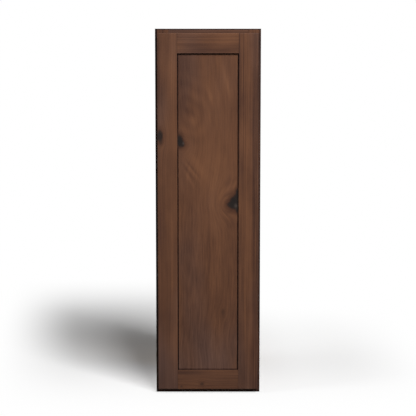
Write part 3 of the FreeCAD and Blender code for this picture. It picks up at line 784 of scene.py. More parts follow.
@dataclass(frozen=True)
class Mottled(Finish):
    """A finish of two close colours in a haze, with fine marks in its relief."""

    name: str
    colours: tuple[Colour, Colour]
    roughness: float
    haze: Strand
    haze_band: Band
    marks: Strand

    def layer(self, graph: Graph) -> Layer:
        """Draw the haze and the marks.

        Args:
            graph: The tree to draw them in.

        Returns:
            The mottled finish.
        """
        place = graph.coordinates()
        haze = graph.noise(place, self.haze)
        marks = graph.noise(place, self.marks)
        colour = graph.mix(graph.rise(haze, *self.haze_band), *self.colours)
        roughness = self.roughness + self.haze.gain * haze.swing + self.marks.gain * marks.swing
        return Layer(colour, roughness, marks)


@dataclass(frozen=True)
class PlatedMetal(Mottled):
    """Plated steel or die-cast zinc with faint drawing marks and handling haze."""

    haze: Strand = Strand(120.0, 120.0, 120.0, gain=0.22, detail=3.0, roughness=0.6)
    haze_band: Band = (0.35, 0.70)
    marks: Strand = Strand(2600.0, 2600.0, 2600.0, gain=0.10, detail=1.0)
    depth: float = 0.02 * MM

    def constants(self) -> dict[str, float]:
        """Return that the surface is metal."""
        return {"Metallic": 1.0}


@dataclass(frozen=True)
class SoftPlastic(Mottled):
    """Rubber or soft clear plastic with a fine moulded skin."""

    haze: Strand = Strand(400.0, 400.0, 400.0, gain=0.15)
    haze_band: Band = (0.3, 0.7)
    marks: Strand = Strand(3000.0, 3000.0, 3000.0, gain=0.0, detail=1.0)
    depth: float = 0.03 * MM
    clear: float = 0.0
    refraction: float = 1.49

    def constants(self) -> dict[str, float]:
        """Return how clear the plastic is and how it bends light."""
        return {"Transmission Weight": self.clear, "IOR": self.refraction}


NICKEL = PlatedMetal(
    "satin_nickel", ((0.640, 0.615, 0.570), (0.520, 0.500, 0.465)), 0.30,
    marks=replace(PlatedMetal.marks, through=60.0))
ZINC = PlatedMetal("bright_zinc", ((0.660, 0.680, 0.700), (0.530, 0.540, 0.550)), 0.34)
RUBBER = SoftPlastic("black_rubber", ((0.018, 0.018, 0.018), (0.040, 0.038, 0.036)), 0.70)
BUMPER = SoftPlastic("clear_bumper", ((0.780, 0.800, 0.800), (0.860, 0.870, 0.860)), 0.22, clear=0.75)

# The hinge stile has two small knots at its outer edge.
HINGE_STILE = StainedAlder(
    "alder_hinge_stile", Grain.UPRIGHT, seed=11.3, tone=0.40, meander=0.02, contrast=0.55,
    knots=(
        Knot(-0.1392, 0.7605, 0.0088, 0.0165, 0.95, 3.0),
        Knot(-0.1365, 0.7430, 0.0060, 0.0080, 0.45, 1.5),
    ),
    patches=(
        Patch(-0.1000, 0.5300, 0.0110, 0.9000, 0.10),
        Patch(-0.1220, 0.8260, 0.0150, 0.0450, 0.10),
        Patch(-0.1420, 0.5000, 0.0070, 0.6000, -0.05),
        Patch(-0.1440, 0.2000, 0.0050, 0.2500, 0.06),
        Patch(-0.1120, 0.6400, 0.0150, 0.0700, 0.05),
        Patch(-0.1000, 0.2450, 0.0070, 0.0600, -0.04),
        # Darker towards the bottom: painted shade along the height.
        Patch(-0.1175, 0.0300, 0.0800, 0.2000, -0.06),
        Patch(-0.1400, 1.0000, 0.0150, 0.2000, -0.06),
    ),
    greying_and_floor_reflection=(
        # Greyer at the bottom: a painted reflection of the white floor.
        Patch(-0.1175, 0.0000, 0.1000, 0.2000, 0.50),
        Patch(-0.1320, 0.9300, 0.0150, 0.1500, 0.12),
    ),
)

# The free stile has a dark strip along its outer edge.
FREE_STILE = StainedAlder(
    "alder_free_stile", Grain.UPRIGHT, seed=47.9, tone=0.41, meander=0.012, contrast=1.0,
    patches=(
        Patch(0.1220, 0.5000, 0.0100, 0.9000, 0.09),
        Patch(0.1325, 0.5000, 0.0045, 2.0000, -0.09),
        Patch(0.1410, 0.5000, 0.0080, 2.0000, -0.075),
        Patch(0.0960, 1.0150, 0.0060, 0.0400, 0.07),
        Patch(0.1210, 0.2350, 0.0090, 0.0500, -0.08),
        Patch(0.1390, 0.0900, 0.0080, 0.0900, 0.08),
        Patch(0.0940, 0.8200, 0.0060, 0.2500, -0.06),
        # Darker at the bottom and at the top: painted shade along the height.
        Patch(0.1175, 0.0300, 0.0800, 0.2200, -0.045),
        Patch(0.1175, 1.0000, 0.0800, 0.1500, -0.06),
    ),
    greying_and_floor_reflection=(
        # Greyer at the bottom: a painted reflection of the white floor.
        Patch(0.1175, 0.0000, 0.1000, 0.2000, 0.25),
        Patch(0.1320, 1.0000, 0.0200, 0.2500, 0.40),
        Patch(0.1100, 0.5000, 0.0100, 0.2500, -0.40),
    ),
)

# The top rail is lighter and redder towards the right.
TOP_RAIL = StainedAlder(
    "alder_top_rail", Grain.LEVEL, seed=23.1, tone=0.40, meander=0.012, contrast=0.7,
    patches=(
        Patch(1.0330, 0.0450, 0.0220, 0.0450, 0.15),
        Patch(1.0430, 0.0000, 0.0120, 0.2000, 0.04),
        Patch(1.0150, -0.0500, 0.0200, 0.0500, -0.08),
        Patch(1.0050, 0.0300, 0.0080, 0.0500, -0.08),
    ),
    greying_and_floor_reflection=(
        Patch(1.0330, 0.0500, 0.0200, 0.0500, -0.50),
        Patch(1.0250, -0.0500, 0.0300, 0.0400, 0.30),
    ),
)

# The bottom rail has two pin knots.
BOTTOM_RAIL = StainedAlder(
    "alder_bottom_rail", Grain.LEVEL, seed=35.7, tone=0.42, meander=0.015, contrast=0.9,
    knots=(
        Knot(0.0286, -0.0177, 0.0050, 0.0060, 0.50, 3.0),
        Knot(0.0210, -0.0783, 0.0025, 0.0035, 0.45, 3.0),
    ),
)

# The panel has two clusters of knots, two swirls, slanting streaks and broad shades.
PANEL = StainedAlder(
    "alder_panel", Grain.UPRIGHT, seed=71.7, tone=0.44, meander=0.060, contrast=0.72,
    calm=(0.45, 0.80), stroke=6.0, clouding=0.38,
    knots=(
        Knot(-0.0825, 0.7500, 0.0090, 0.0125, 1.00, 6.0),
        Knot(-0.0765, 0.7365, 0.0090, 0.0095, 0.95, 2.0, (-0.0715, 0.7385)),
        Knot(-0.0850, 0.7390, 0.0065, 0.0090, 0.85, 1.5),
        Knot(0.0670, 0.5594, 0.0120, 0.0090, 0.90, 2.0),
        Knot(0.0805, 0.5734, 0.0120, 0.0170, 1.00, 4.0),
        Knot(0.0781, 0.5566, 0.0150, 0.0120, 1.00, 3.0, (0.0810, 0.5566)),
        Knot(0.0735, 0.5690, 0.0110, 0.0110, 0.95, 1.5),
        Knot(0.0855, 0.5923, 0.0055, 0.0150, 0.95, 1.5),
        Knot(0.0860, 0.5444, 0.0050, 0.0090, 0.90, 1.5),
        Knot(0.0440, 0.2430, 0.0050, 0.0100, 0.28, 3.0),
    ),
    hearts=(
        Heart(-0.0640, 0.8250, 0.1120, 0.1450, 3.2, 0.030),
        Heart(0.0850, 0.5700, 0.0800, 0.1300, 3.0, 0.035),
    ),
    patches=(
        Patch(0.0150, 0.6350, 0.0500, 0.0900, 0.135),
        Patch(0.0000, 0.0900, 0.0900, 0.0700, 0.075),
        Patch(0.0200, 0.3300, 0.0700, 0.0700, 0.025),
        Patch(0.0771, 0.6112, 0.0040, 0.0210, 0.11, lean=-0.26),
        Patch(0.0160, 0.6460, 0.0050, 0.0130, -0.07),
        Patch(-0.0430, 0.7980, 0.0150, 0.0180, 0.11),
        Patch(-0.0620, 0.8370, 0.0200, 0.0150, -0.06),
        Patch(0.0600, 0.8400, 0.0350, 0.0700, -0.03),
        Patch(0.0800, 0.8270, 0.0090, 0.0250, -0.05),
        Patch(-0.0640, 0.7340, 0.0110, 0.0090, -0.06),
        Patch(0.0530, 0.9170, 0.0055, 0.0580, 0.12, lean=0.23),
        Patch(0.0070, 0.8730, 0.0050, 0.0300, 0.10, lean=0.28),
        Patch(-0.0270, 0.6700, 0.0100, 0.0480, 0.09, lean=0.54),
        Patch(-0.0430, 0.6540, 0.0040, 0.0320, 0.11, lean=0.64),
        Patch(-0.0550, 0.6360, 0.0040, 0.0250, 0.11, lean=0.52),
        Patch(-0.0470, 0.6680, 0.0036, 0.0280, -0.10, lean=0.68),
        Patch(-0.0560, 0.6540, 0.0036, 0.0260, -0.09, lean=0.60),
        Patch(0.0330, 0.9000, 0.0070, 0.0550, -0.06, lean=0.22),
        Patch(0.0050, 0.7900, 0.0300, 0.1600, 0.085),
        Patch(-0.0500, 0.4400, 0.0500, 0.1000, -0.08),
        Patch(0.0300, 0.4600, 0.0450, 0.0800, -0.035),
        Patch(0.0370, 0.4800, 0.0140, 0.0900, 0.045),
        Patch(-0.0700, 0.9300, 0.0400, 0.1200, -0.07),
        # Darker along the top: painted shade under the top rail.
        Patch(-0.0300, 0.9700, 0.1000, 0.0500, -0.05),
        Patch(-0.0700, 0.2000, 0.0350, 0.0900, -0.065),
        Patch(-0.0550, 0.5700, 0.0400, 0.0400, -0.045),
        Patch(0.0450, 0.6250, 0.0300, 0.0220, -0.045),
        Patch(0.0000, 0.6950, 0.0800, 0.0250, 0.035),
    ),
    greying_and_floor_reflection=(
        # Greyer at the bottom: a painted reflection of the white floor.
        Patch(-0.0500, 0.0600, 0.1400, 0.1300, 0.65),
        Patch(-0.0700, 0.9500, 0.0450, 0.1600, 0.40),
        Patch(0.0500, 0.4300, 0.0350, 0.1500, -0.40),
        Patch(0.0300, 0.7000, 0.0600, 0.1000, -0.30),
        Patch(0.0650, 0.8600, 0.0350, 0.0900, -0.30),
    ),
)


def clear_selection() -> None:
    """Leave nothing selected."""
    bpy.ops.object.select_all(action="DESELECT")


def select_only(piece: bpy.types.Object) -> None:
    """Leave one piece selected and active.

    Args:
        piece: The piece.
    """
    clear_selection()
    piece.select_set(True)
    bpy.context.view_layer.objects.active = piece


def name_piece(piece: bpy.types.Object, name: str) -> None:
    """Name a piece and its mesh."""
    piece.name = name
    piece.data.name = name


def pick_end(piece: bpy.types.Object, end: End) -> None:
    """Select in edit mode the outermost face at one end, and nothing else.

    Args:
        piece: The piece, in edit mode.
        end: Which end.
    """
    bpy.context.tool_settings.mesh_select_mode = (False, False, True)
    bpy.ops.mesh.select_all(action="DESELECT")
    mesh = bmesh.from_edit_mesh(piece.data)
    level = [face for face in mesh.faces if face.normal.z * end.value > LEVEL_FACE]
    outermost = max(level, key=lambda face: face.calc_center_median().z * end.value)
    outermost.select_set(True)
    bmesh.update_edit_mesh(piece.data)


class Blank:
    """A piece in the making, worked by hand from a rod that stands on z = 0."""

    def __init__(self, name: str, radius: float, length: float, sides: int = 32) -> None:
        """Start the piece, in edit mode.

        Args:
            name: The piece's name.
            radius: The rod's radius.
            length: The rod's length.
            sides: The number of sides.
        """
        clear_selection()
        bpy.ops.mesh.primitive_cylinder_add(
            vertices=sides, radius=radius, depth=length, location=(0.0, 0.0, length / 2))
        self.piece = bpy.context.object
        name_piece(self.piece, name)
        bpy.ops.object.transform_apply(location=True, rotation=True, scale=True)
        bpy.ops.object.mode_set(mode="EDIT")

    def grow(self, end: End, length: float, scale: float = 1.0) -> None:
        """Lengthen the end that is picked, and taper the new length.

        Args:
            end: Which end it is.
            length: The length to add.
            scale: The width of the new end over the old.
        """
        outward = (0.0, 0.0, end.value * length)
        bpy.ops.mesh.extrude_region_move(TRANSFORM_OT_translate={"value": outward})
        if scale != 1.0:
            bpy.ops.transform.resize(value=(scale, scale, 1.0), center_override=(0.0, 0.0, 0.0))

    def step(self, end: End, scale: float) -> None:
        """Pick an end, and widen or narrow it by a flat shoulder."""
        pick_end(self.piece, end)
        self.grow(end, 0.0, scale)

    def round_end(self, end: End, radius: float, segments: int) -> None:
        """Round the rim of an end by a radius, in some steps."""
        pick_end(self.piece, end)
        bpy.ops.mesh.bevel(offset=radius, segments=segments, profile=0.5, affect="EDGES")

    def close(self) -> None:
        """Leave edit mode with all faces outward and smooth up to a sharp edge."""
        bpy.ops.mesh.select_all(action="SELECT")
        bpy.ops.mesh.remove_doubles(threshold=WELD_DISTANCE)
        bpy.ops.mesh.normals_make_consistent(inside=False)
        bpy.ops.object.mode_set(mode="OBJECT")
        bpy.ops.object.shade_smooth_by_angle(angle=SMOOTH_ANGLE)

    def cut_slot(self, size: Sequence[float], top: float, turn: float) -> None:
        """Cut a straight slot with a narrower floor into the top of the closed piece.

        Args:
            size: The slot's length, width and depth.
            top: The height of the piece's top.
            turn: The slot's direction about the axis, in radians.
        """
        clear_selection()
        length, width, depth = size
        bpy.ops.mesh.primitive_cube_add(size=1.0, location=(0.0, 0.0, top), rotation=(0.0, 0.0, turn))
        cutter = bpy.context.object
        cutter.scale = (length, width, 2 * depth)
        bpy.ops.object.mode_set(mode="EDIT")
        pick_end(cutter, End.FOOT)
        bpy.ops.transform.resize(value=(SLOT_TAPER, SLOT_TAPER, 1.0))
        bpy.ops.object.mode_set(mode="OBJECT")
        select_only(self.piece)
        cut = self.piece.modifiers.new("slot", "BOOLEAN")
        cut.operation = "DIFFERENCE"
        cut.object = cutter
        bpy.ops.object.modifier_apply(modifier=cut.name)
        bpy.data.objects.remove(cutter)

    def copy_to(self, name: str, place: Vector, axis: Vector, turn: float = 0.0) -> bpy.types.Object:
        """Copy the closed piece with its own mesh, and set the copy down at a place.

        Args:
            name: The copy's name.
            place: Where its foot goes.
            axis: Where its +Z points.
            turn: How far it is turned about its own axis, in radians.

        Returns:
            The copy, at the origin with its place in its mesh.
        """
        select_only(self.piece)
        bpy.ops.object.duplicate(linked=False)
        copy = bpy.context.object
        name_piece(copy, name)
        lean = UPWARD.rotation_difference(axis).to_matrix().to_4x4()
        copy.matrix_world = Matrix.Translation(place) @ lean @ Matrix.Rotation(turn, 4, "Z")
        bpy.ops.object.transform_apply(location=True, rotation=True, scale=True)
        return copy

    def discard(self) -> None:
        """Remove the piece, once its copies are made."""
        bpy.data.objects.remove(self.piece)


def dress(node: str, material: bpy.types.Material) -> None:
    """Give a CAD node a finish.

    Args:
        node: The node's name.
        material: The finish.
    """
    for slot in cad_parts[node].material_slots:
        slot.material = material
    log.info("%s: %s", node, material.name)


def seat(
    piece: bpy.types.Object, material: bpy.types.Material, body: str, node: str
) -> None:
    """Dress a new piece and set it in place of a CAD node.

    Args:
        piece: The piece.
        material: Its finish.
        body: The body that it rides on.
        node: The node that it stands for.
    """
    piece.data.materials.clear()
    piece.data.materials.append(material)
    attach(piece, body)
    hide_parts(node)
    log.info("%s: %s on %s", piece.name, material.name, body)


def middle(node: str) -> Vector:
    """Return the middle of a CAD node's box."""
    low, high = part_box(node)
    return (low + high) / 2


@dataclass
class Finishes:
    """The materials that several sub-assemblies share."""

    nickel: bpy.types.Material = field(default_factory=NICKEL.material)
    zinc: bpy.types.Material = field(default_factory=ZINC.material)
    rubber: bpy.types.Material = field(default_factory=RUBBER.material)
    bumper: bpy.types.Material = field(default_factory=BUMPER.material)


@dataclass
class Door:
    """The door: two stiles, two rails and a flat panel, with its spacers and bumpers."""

    finishes: Finishes
    rail_gap_shade_width: float = 4.0 * MM
    stile_gap_shade_width: float = 3.8 * MM
    joint_width: float = 0.8 * MM
    worn_width: float = 2.1 * MM
    bumper_rounding: float = 1.3 * MM
    bumper_steps: int = 6

    def outline_edges(self) -> tuple[Edge, ...]:
        """Find the edges of the door's outline, along which the wood is a little darker.

        Returns:
            The edges, at the left, the right, the bottom and the top.
        """
        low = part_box("door_hinge_stile")[0]
        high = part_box("door_free_stile")[1]
        places = ((Axis.X, low.x), (Axis.X, high.x), (Axis.Z, low.z), (Axis.Z, high.z))
        return tuple(Edge(axis, place, self.worn_width, -0.04) for axis, place in places)

    def stile_edges(self, width: float, gain: float) -> tuple[Edge, ...]:
        """Return the lines where the hinge stile and the free stile end towards the panel."""
        places = (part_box("door_hinge_stile")[1].x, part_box("door_free_stile")[0].x)
        return tuple(Edge(Axis.X, place, width, gain) for place in places)

    def dress(self) -> None:
        """Finish the boards, with painted shade and pooled stain on the panel along its frame, and the
        spacers.
        """
        outline = self.outline_edges()
        jointed = self.stile_edges(self.joint_width, -0.30) + outline
        # Painted shade in the gap where the panel meets its frame, nearly black by the stiles, together
        # with pooled stain.
        panel_gap_shade = self.stile_edges(self.stile_gap_shade_width, -0.90) + (
            Edge(Axis.Z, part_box("door_top_rail")[0].z, self.rail_gap_shade_width, -0.42),
            Edge(Axis.Z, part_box("door_bottom_rail")[1].z, self.rail_gap_shade_width, -0.34),
        )
        boards = {
            "door_hinge_stile": replace(HINGE_STILE, edges=outline),
            "door_free_stile": replace(FREE_STILE, edges=outline),
            "door_top_rail": replace(TOP_RAIL, edges=jointed),
            "door_bottom_rail": replace(BOTTOM_RAIL, edges=jointed),
            "door_panel": replace(PANEL, edges=panel_gap_shade),
        }
        for node, finish in boards.items():
            dress(node, finish.material())
        dress("panel_spacers", self.finishes.rubber)

    def build_bumpers(self) -> None:
        """Model the two domed bumpers on the back of the door."""
        low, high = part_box("door_bumpers")
        radius = (high.x - low.x) / 2
        model = Blank("bumper_model", radius, high.y - low.y)
        model.round_end(End.TOP, self.bumper_rounding, self.bumper_steps)
        model.close()
        for level, height in (("lower", low.z + radius), ("upper", high.z - radius)):
            foot = Vector((low.x + radius, low.y, height))
            piece = model.copy_to(f"{level}_bumper", foot, REARWARD)
            seat(piece, self.finishes.bumper, "door", "door_bumpers")
        model.discard()


@dataclass
class FaceFrame:
    """The face frame behind the door, with painted shade along its outline where the door shades the
    reveals.
    """

    reveal_shade_width: float = 7.0 * MM
    seeds: tuple[tuple[str, float], ...] = (
        ("left_stile", 5.1), ("right_stile", 8.2), ("top_rail", 13.3), ("bottom_rail", 17.4))

    def dress(self) -> None:
        """Finish the four members, with painted shade along the outline and painted light and shade on
        the top reveal, which is lighter towards the right.
        """
        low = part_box("frame_left_stile")[0]
        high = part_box("frame_right_stile")[1]
        # Painted shade: the reveals go darker along the outline in place of the door's shadow and the
        # shade in the gaps; the wide band at the top is painted shade by the door.
        reveal_shades = (
            (Axis.X, low.x, 1.0, -0.34),
            (Axis.X, high.x, 1.0, -0.22),
            (Axis.Z, low.z, 1.0, -0.30),
            (Axis.Z, high.z, 0.42, -0.34),
            (Axis.Z, high.z, 2.4, -0.04),
        )
        edges = tuple(
            Edge(axis, place, share * self.reveal_shade_width, gain, front_only=True)
            for axis, place, share, gain in reveal_shades)
        # Painted light and shade on the top reveal: a lighter band along its top, a painted shadow just
        # above the door, and a lighter top at the right.
        reveal_light_and_shade = (
            Patch(high.z - 0.0045, 0.0900, 0.0055, 0.1400, 0.14),
            Patch(high.z - 0.0105, 0.0000, 0.0040, 0.3000, -0.06),
            Patch(high.x - 0.0120, high.z - 0.0050, 0.0300, 0.0100, 0.11),
        )
        greyed = (Patch(high.z, 0.0000, 0.0200, 0.3000, 0.38),)
        for member, seed in self.seeds:
            grain = Grain.LEVEL if member.endswith("rail") else Grain.UPRIGHT
            finish = StainedAlder(
                f"alder_frame_{member}", grain, seed, tone=0.36, meander=0.015, contrast=0.8,
                patches=reveal_light_and_shade, edges=edges, greying_and_floor_reflection=greyed)
            dress(f"frame_{member}", finish.material())


@dataclass
class Case:
    """The box behind the frame: sides, decks, back, hanging rails and corner blocks."""

    side_ply: float = 12.7 / 9 * MM
    deck_ply: float = 12.7 / 9 * MM
    back_ply: float = 6.35 / 5 * MM
    raw_stops: Stops = (
        (0.00, (0.330, 0.190, 0.090)),
        (0.45, (0.560, 0.390, 0.210)),
        (1.00, (0.660, 0.500, 0.310)),
    )

    def dress(self) -> None:
        """Finish the boards."""
        for node, outward, seed in (("left_side", -1.0, 31.0), ("right_side", 1.0, 37.0)):
            outside = StainedAlder(
                f"{node}_outside", Grain.SIDEWALL, seed, tone=0.43, meander=0.04, contrast=0.75)
            inside = PaleWood(f"{node}_inside", Grain.SIDEWALL, seed, ply=self.side_ply)
            dress(node, TwoFacedBoard(f"{node}_board", outside, inside, outward).material())
        for node, seed, roughness in (("top_panel", 41.0, 0.72), ("bottom_panel", 43.0, 0.40)):
            finish = PaleWood(f"maple_{node}", Grain.SHELF, seed, roughness=roughness, ply=self.deck_ply)
            dress(node, finish.material())
        dress("back_panel", PaleWood("maple_back", Grain.UPRIGHT, 47.0, ply=self.back_ply).material())
        raw = PaleWood("raw_rail", Grain.LEVEL, 53.0, self.raw_stops, roughness=0.70).material()
        for part in ("hanging_rail", "corner_blocks"):
            for level in ("upper", "lower"):
                dress(f"{level}_{part}", raw)


@dataclass
class Shelf:
    """One adjustable shelf with its edge strip and four pins."""

    level: str
    seed: float
    finishes: Finishes
    ply: float = 19.05 / 13 * MM
    edge_shift: float = 2.0
    reach_under: float = 7.5 * MM
    collar: float = 1.4
    collar_length: float = 1.0 * MM
    rounding: float = 0.5 * MM
    rounding_steps: int = 3

    def dress(self) -> None:
        """Finish the board and its edge strip."""
        board = PaleWood(f"maple_{self.level}_shelf", Grain.SHELF, self.seed, ply=self.ply)
        strip = PaleWood(f"maple_{self.level}_edge", Grain.LEVEL, self.seed + self.edge_shift)
        dress(f"{self.level}_shelf", board.material())
        dress(f"{self.level}_shelf_edge", strip.material())

    def pin_model(self, radius: float, bored: float, peg: float) -> Blank:
        """Model one collared pin.

        Args:
            radius: The pin's radius.
            bored: How deep it sits in the side.
            peg: How far it stands out of the side.

        Returns:
            The pin, with its bored end at the foot.
        """
        model = Blank("pin_model", radius, bored)
        model.step(End.TOP, self.collar)
        model.grow(End.TOP, self.collar_length)
        model.step(End.TOP, 1 / self.collar)
        model.grow(End.TOP, peg - self.collar_length)
        model.round_end(End.TOP, self.rounding, self.rounding_steps)
        model.close()
        return model

    def build_pins(self) -> None:
        """Model the collared pins in the sides, under the shelf."""
        node = f"{self.level}_shelf_pins"
        low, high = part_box(node)
        radius = (high.z - low.z) / 2
        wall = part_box("right_side")[0].x
        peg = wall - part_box(f"{self.level}_shelf")[1].x + self.reach_under
        model = self.pin_model(radius, high.x - wall, peg)
        for side, x, inward in (("left", low.x, RIGHTWARD), ("right", high.x, -RIGHTWARD)):
            for row, y in (("front", low.y + radius), ("rear", high.y - radius)):
                foot = Vector((x, y, low.z + radius))
                piece = model.copy_to(f"{self.level}_{side}_{row}_pin", foot, inward)
                seat(piece, self.finishes.zinc, "cabinet", node)
        model.discard()


@dataclass(frozen=True)
class CrossScrew:
    """Screws with domed heads and cross recesses, one or a pair to a hinge, which stand on z = 0."""

    head_radius: float
    head_height: float
    shank_radius: float
    shank_length: float
    pointed: bool
    rim: float
    turn: float
    turn_step: float = 1.0
    spacing: float = 0.0
    rim_steps: int = 4
    point_share: float = 2.5
    tip_share: float = 0.12
    slot_length_share: float = 1.15
    slot_width_share: float = 0.26
    slot_depth_share: float = 0.7

    def model(self, name: str) -> Blank:
        """Model the screw.

        Args:
            name: The model's name.

        Returns:
            The screw, head up.
        """
        blank = Blank(name, self.head_radius, self.head_height)
        blank.step(End.FOOT, self.shank_radius / self.head_radius)
        point = self.point_share * self.shank_radius if self.pointed else 0.0
        blank.grow(End.FOOT, self.shank_length - point)
        if self.pointed:
            blank.grow(End.FOOT, point, self.tip_share)
        blank.round_end(End.TOP, self.rim, self.rim_steps)
        blank.close()
        slot = (
            self.slot_length_share * self.head_radius,
            self.slot_width_share * self.head_radius,
            self.slot_depth_share * self.head_height,
        )
        for turn in (0.0, math.pi / 2):
            blank.cut_slot(slot, self.head_height, turn)
        return blank


@dataclass
class Hinges:
    """The three concealed hinges, with modelled screws and riveted pins."""

    finishes: Finishes
    plate_thickness: float = 2.0 * MM
    cup_screw_offset: float = 9.5 * MM
    rivet_length: float = 0.5 * MM
    rivet_scale: float = 1.5
    rivet_taper: float = 0.7
    rivet_sides: int = 24
    plate_screw: CrossScrew = CrossScrew(
        3.25 * MM, 1.8 * MM, 1.75 * MM, 16.0 * MM, True, 1.0 * MM, turn=0.4, spacing=34.0 * MM)
    cup_screw: CrossScrew = CrossScrew(
        3.25 * MM, 1.0 * MM, 1.75 * MM, 11.0 * MM, True, 0.5 * MM, turn=0.9, spacing=45.0 * MM)
    arm_screw: CrossScrew = CrossScrew(
        3.75 * MM, 2.2 * MM, 2.0 * MM, 14.0 * MM, False, 1.0 * MM, turn=0.3, turn_step=0.7)

    def dress(self) -> None:
        """Finish the cups, arms, plates, links, levers and springs."""
        for level in LEVELS:
            for part in ("cup", "arm", "plate"):
                dress(f"{level}_hinge_{part}", self.finishes.nickel)
            for part in ("link", "lever"):
                dress(f"{level}_hinge_{part}", self.finishes.zinc)
        for node in ("cup_link_pins", "cup_lever_pins", "hinge_springs"):
            dress(node, self.finishes.zinc)

    def drive(
        self, kind: str, screw: CrossScrew, body: str, axis: Vector,
        place: Callable[[Vector, Vector], tuple[float, float]],
    ) -> None:
        """Model one kind of screw and drive a copy into each seat, or into both seats of each pair.

        Args:
            kind: What the screws hold.
            screw: Their sizes.
            body: The body that they ride on.
            axis: Where their heads look.
            place: Tells the seats' x and y from the corners of what the screws hold.
        """
        model = screw.model(f"{kind}_screw_model")
        ends = (("_bottom", -0.5), ("_top", 0.5)) if screw.spacing else (("", 0.0),)
        for index, level in enumerate(LEVELS):
            low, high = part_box(f"{level}_hinge_{kind}")
            for end, side in ends:
                foot = Vector((*place(low, high), (low.z + high.z) / 2 + side * screw.spacing))
                turn = screw.turn + screw.turn_step * index + side
                piece = model.copy_to(f"{level}_{kind}_screw{end}", foot, axis, turn)
                seat(piece, self.finishes.zinc, body, f"hinge_{kind}_screws")
        model.discard()

    def build_screws(self) -> None:
        """Model the screws of the plates, the cups and the arms."""
        depth = middle("hinge_arm_screws").y
        self.drive(
            "plate", self.plate_screw, "cabinet", RIGHTWARD,
            lambda low, high: (low.x + self.plate_thickness, (low.y + high.y) / 2))
        self.drive(
            "cup", self.cup_screw, "door", REARWARD,
            lambda low, high: ((low.x + high.x) / 2 + self.cup_screw_offset, high.y))
        self.drive("arm", self.arm_screw, "cabinet", RIGHTWARD, lambda low, high: (high.x, depth))

    def build_arm_pins(self) -> None:
        """Model the riveted pins in the arms."""
        for node in ("arm_link_pins", "arm_lever_pins"):
            low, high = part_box(node)
            radius = (high.x - low.x) / 2
            centre = middle(node)
            for level in LEVELS:
                arm_low, arm_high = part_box(f"{level}_hinge_arm")
                model = Blank("rivet_model", radius, arm_high.z - arm_low.z, self.rivet_sides)
                for end in End:
                    model.step(end, self.rivet_scale)
                    model.grow(end, self.rivet_length, self.rivet_taper)
                model.close()
                foot = Vector((centre.x, centre.y, arm_low.z))
                piece = model.copy_to(f"{level}_{node.removesuffix('s')}", foot, UPWARD)
                model.discard()
                seat(piece, self.finishes.zinc, "cabinet", node)


@dataclass(frozen=True)
class Lamp:
    """A soft rectangular lamp that looks at the cabinet."""

    name: str
    place: tuple[float, float, float]
    width: float
    height: float
    power: float

    def hang(self, aim: Sequence[float]) -> None:
        """Hang the lamp.

        Args:
            aim: The point that it looks at.
        """
        clear_selection()
        bpy.ops.object.light_add(type="AREA", location=self.place)
        lamp = bpy.context.object
        lamp.name = self.name
        lamp.data.shape = "RECTANGLE"
        lamp.data.size = self.width
        lamp.data.size_y = self.height
        lamp.data.energy = self.power
        lamp.rotation_euler = (Vector(aim) - Vector(self.place)).to_track_quat("-Z", "Y").to_euler()


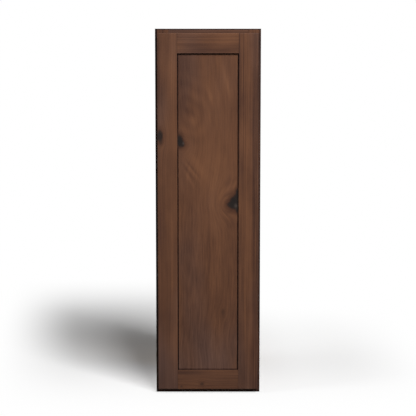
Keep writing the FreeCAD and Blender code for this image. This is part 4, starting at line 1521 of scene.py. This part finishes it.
@dataclass
class Studio:
    """The white floor, the lamps and the camera."""

    camera_place: tuple[float, float, float] = (0.0, -4.1148, 1.0039)
    camera_tilt: float = 83.183
    camera_far: float = 200.0
    lens: float = 113.813
    lamps: tuple[Lamp, ...] = (
        Lamp("key_lamp", (1.54, -3.63, 3.89), 2.32, 1.52, 322.0),
        Lamp("fill_lamp", (-2.81, -1.37, 2.47), 1.05, 1.05, 27.4),
        Lamp("back_lamp", (-0.30, 3.40, 0.14), 1.80, 0.24, 48.0),
    )
    aim: tuple[float, float, float] = (0.0, -0.30, 0.50)
    ambient: float = 0.032
    white: Colour = (1.0, 1.0, 1.0)
    floor_size: float = 40.0
    floor_white: Colour = (0.95, 0.95, 0.95)
    floor_dim: Colour = (0.16, 0.16, 0.16)
    left_fade: Band = (-0.705, -0.395)
    left_slant: float = 0.11
    right_fade: Band = (0.41, 0.74)
    front_fade: Band = (-0.62, 0.14)
    rear_fade: Band = (0.32, 1.68)
    rear_bend: float = 0.62
    rear_bend_fade: Band = (-0.25, 0.30)
    lit_share: float = 0.26
    lit_fade: Band = (0.15, 0.32)

    def seen_directly(self, graph: Graph) -> Signal:
        """Tell rays that look from rays that pass light on.

        Args:
            graph: The tree to tell them in.

        Returns:
            1 where a camera, mirror or glass ray looks, and 0 for other light.
        """
        rays = graph.node("ShaderNodeLightPath").outputs
        names = ("Is Camera Ray", "Is Glossy Ray", "Is Transmission Ray")
        camera, glossy, through = (Signal(graph, rays[name]) for name in names)
        return graph.math("MAXIMUM", graph.math("MAXIMUM", camera, glossy), through)

    def shading_kept(self, graph: Graph, x: Signal, y: Signal) -> Signal:
        """Work out how much of the floor's shading shows: most beside the cabinet, none further off.

        Args:
            graph: The floor's tree.
            x: The place to the right.
            y: The place to the rear.

        Returns:
            The share that shows, from 0 to 1.
        """
        leftward = graph.rise(x + self.left_slant * y, *self.left_fade)
        sideways = leftward * (1 - graph.rise(x, *self.right_fade))
        lit_side = 1 - self.lit_share * graph.rise(x, *self.lit_fade)
        forward = graph.rise(y, *self.front_fade)
        rear = y + self.rear_bend * graph.rise(x, *self.rear_bend_fade)
        return sideways * lit_side * forward * (1 - graph.rise(rear, *self.rear_fade))

    def build_floor(self) -> None:
        """Lay the floor, which keeps the shadow and turns plain white further off."""
        clear_selection()
        bpy.ops.mesh.primitive_plane_add(size=self.floor_size)
        floor = bpy.context.object
        floor.name = "studio_floor"
        graph = Graph.of_material("studio_white")
        x, y, _ = graph.axes()
        away = 1 - self.shading_kept(graph, x, y)
        lit = graph.node("ShaderNodeBsdfDiffuse", {}, {"Color": self.floor_white}).outputs[0]
        glow = graph.node("ShaderNodeEmission", {}, {"Color": self.white, "Strength": 1.0}).outputs[0]
        shown = graph.node("ShaderNodeMixShader", {}, {0: away, 1: lit, 2: glow}).outputs[0]
        dim = graph.node("ShaderNodeBsdfDiffuse", {}, {"Color": self.floor_dim}).outputs[0]
        ends = {0: self.seen_directly(graph), 1: dim, 2: shown}
        surface = graph.node("ShaderNodeMixShader", {}, ends).outputs[0]
        graph.node("ShaderNodeOutputMaterial", {}, {"Surface": surface})
        floor.data.materials.append(graph.owner)

    def build_world(self) -> None:
        """Make the surroundings white to look at and dim as a light."""
        world = bpy.data.worlds.new("studio")
        bpy.context.scene.world = world
        graph = Graph(world)
        strength = self.ambient + (1 - self.ambient) * self.seen_directly(graph)
        background = graph.node("ShaderNodeBackground", {}, {"Color": self.white, "Strength": strength})
        graph.node("ShaderNodeOutputWorld", {}, {"Surface": background.outputs[0]})

    def build_camera(self) -> None:
        """Set the camera at the photograph's viewing angle."""
        clear_selection()
        turn = (math.radians(self.camera_tilt), 0.0, 0.0)
        bpy.ops.object.camera_add(location=self.camera_place, rotation=turn)
        camera = bpy.context.object
        camera.name = "camera"
        camera.data.lens = self.lens
        camera.data.clip_end = self.camera_far
        bpy.context.scene.camera = camera

    def build(self) -> None:
        """Set up the floor, the surroundings, the lamps and the camera."""
        self.build_floor()
        self.build_world()
        for lamp in self.lamps:
            lamp.hang(self.aim)
        self.build_camera()
        bpy.context.scene.view_settings.view_transform = "Standard"


def main() -> None:
    """Dress the cabinet, add its modelled fittings and set up the studio."""
    logging.basicConfig(level=logging.INFO, format="%(message)s")
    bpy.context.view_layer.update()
    finishes = Finishes()
    Case().dress()
    FaceFrame().dress()
    for level, seed in zip(LEVELS, SHELF_SEEDS):
        shelf = Shelf(level, seed, finishes)
        shelf.dress()
        shelf.build_pins()
    door = Door(finishes)
    door.dress()
    door.build_bumpers()
    hinges = Hinges(finishes)
    hinges.dress()
    hinges.build_screws()
    hinges.build_arm_pins()
    Studio().build()


if __name__ == "__main__":
    main()
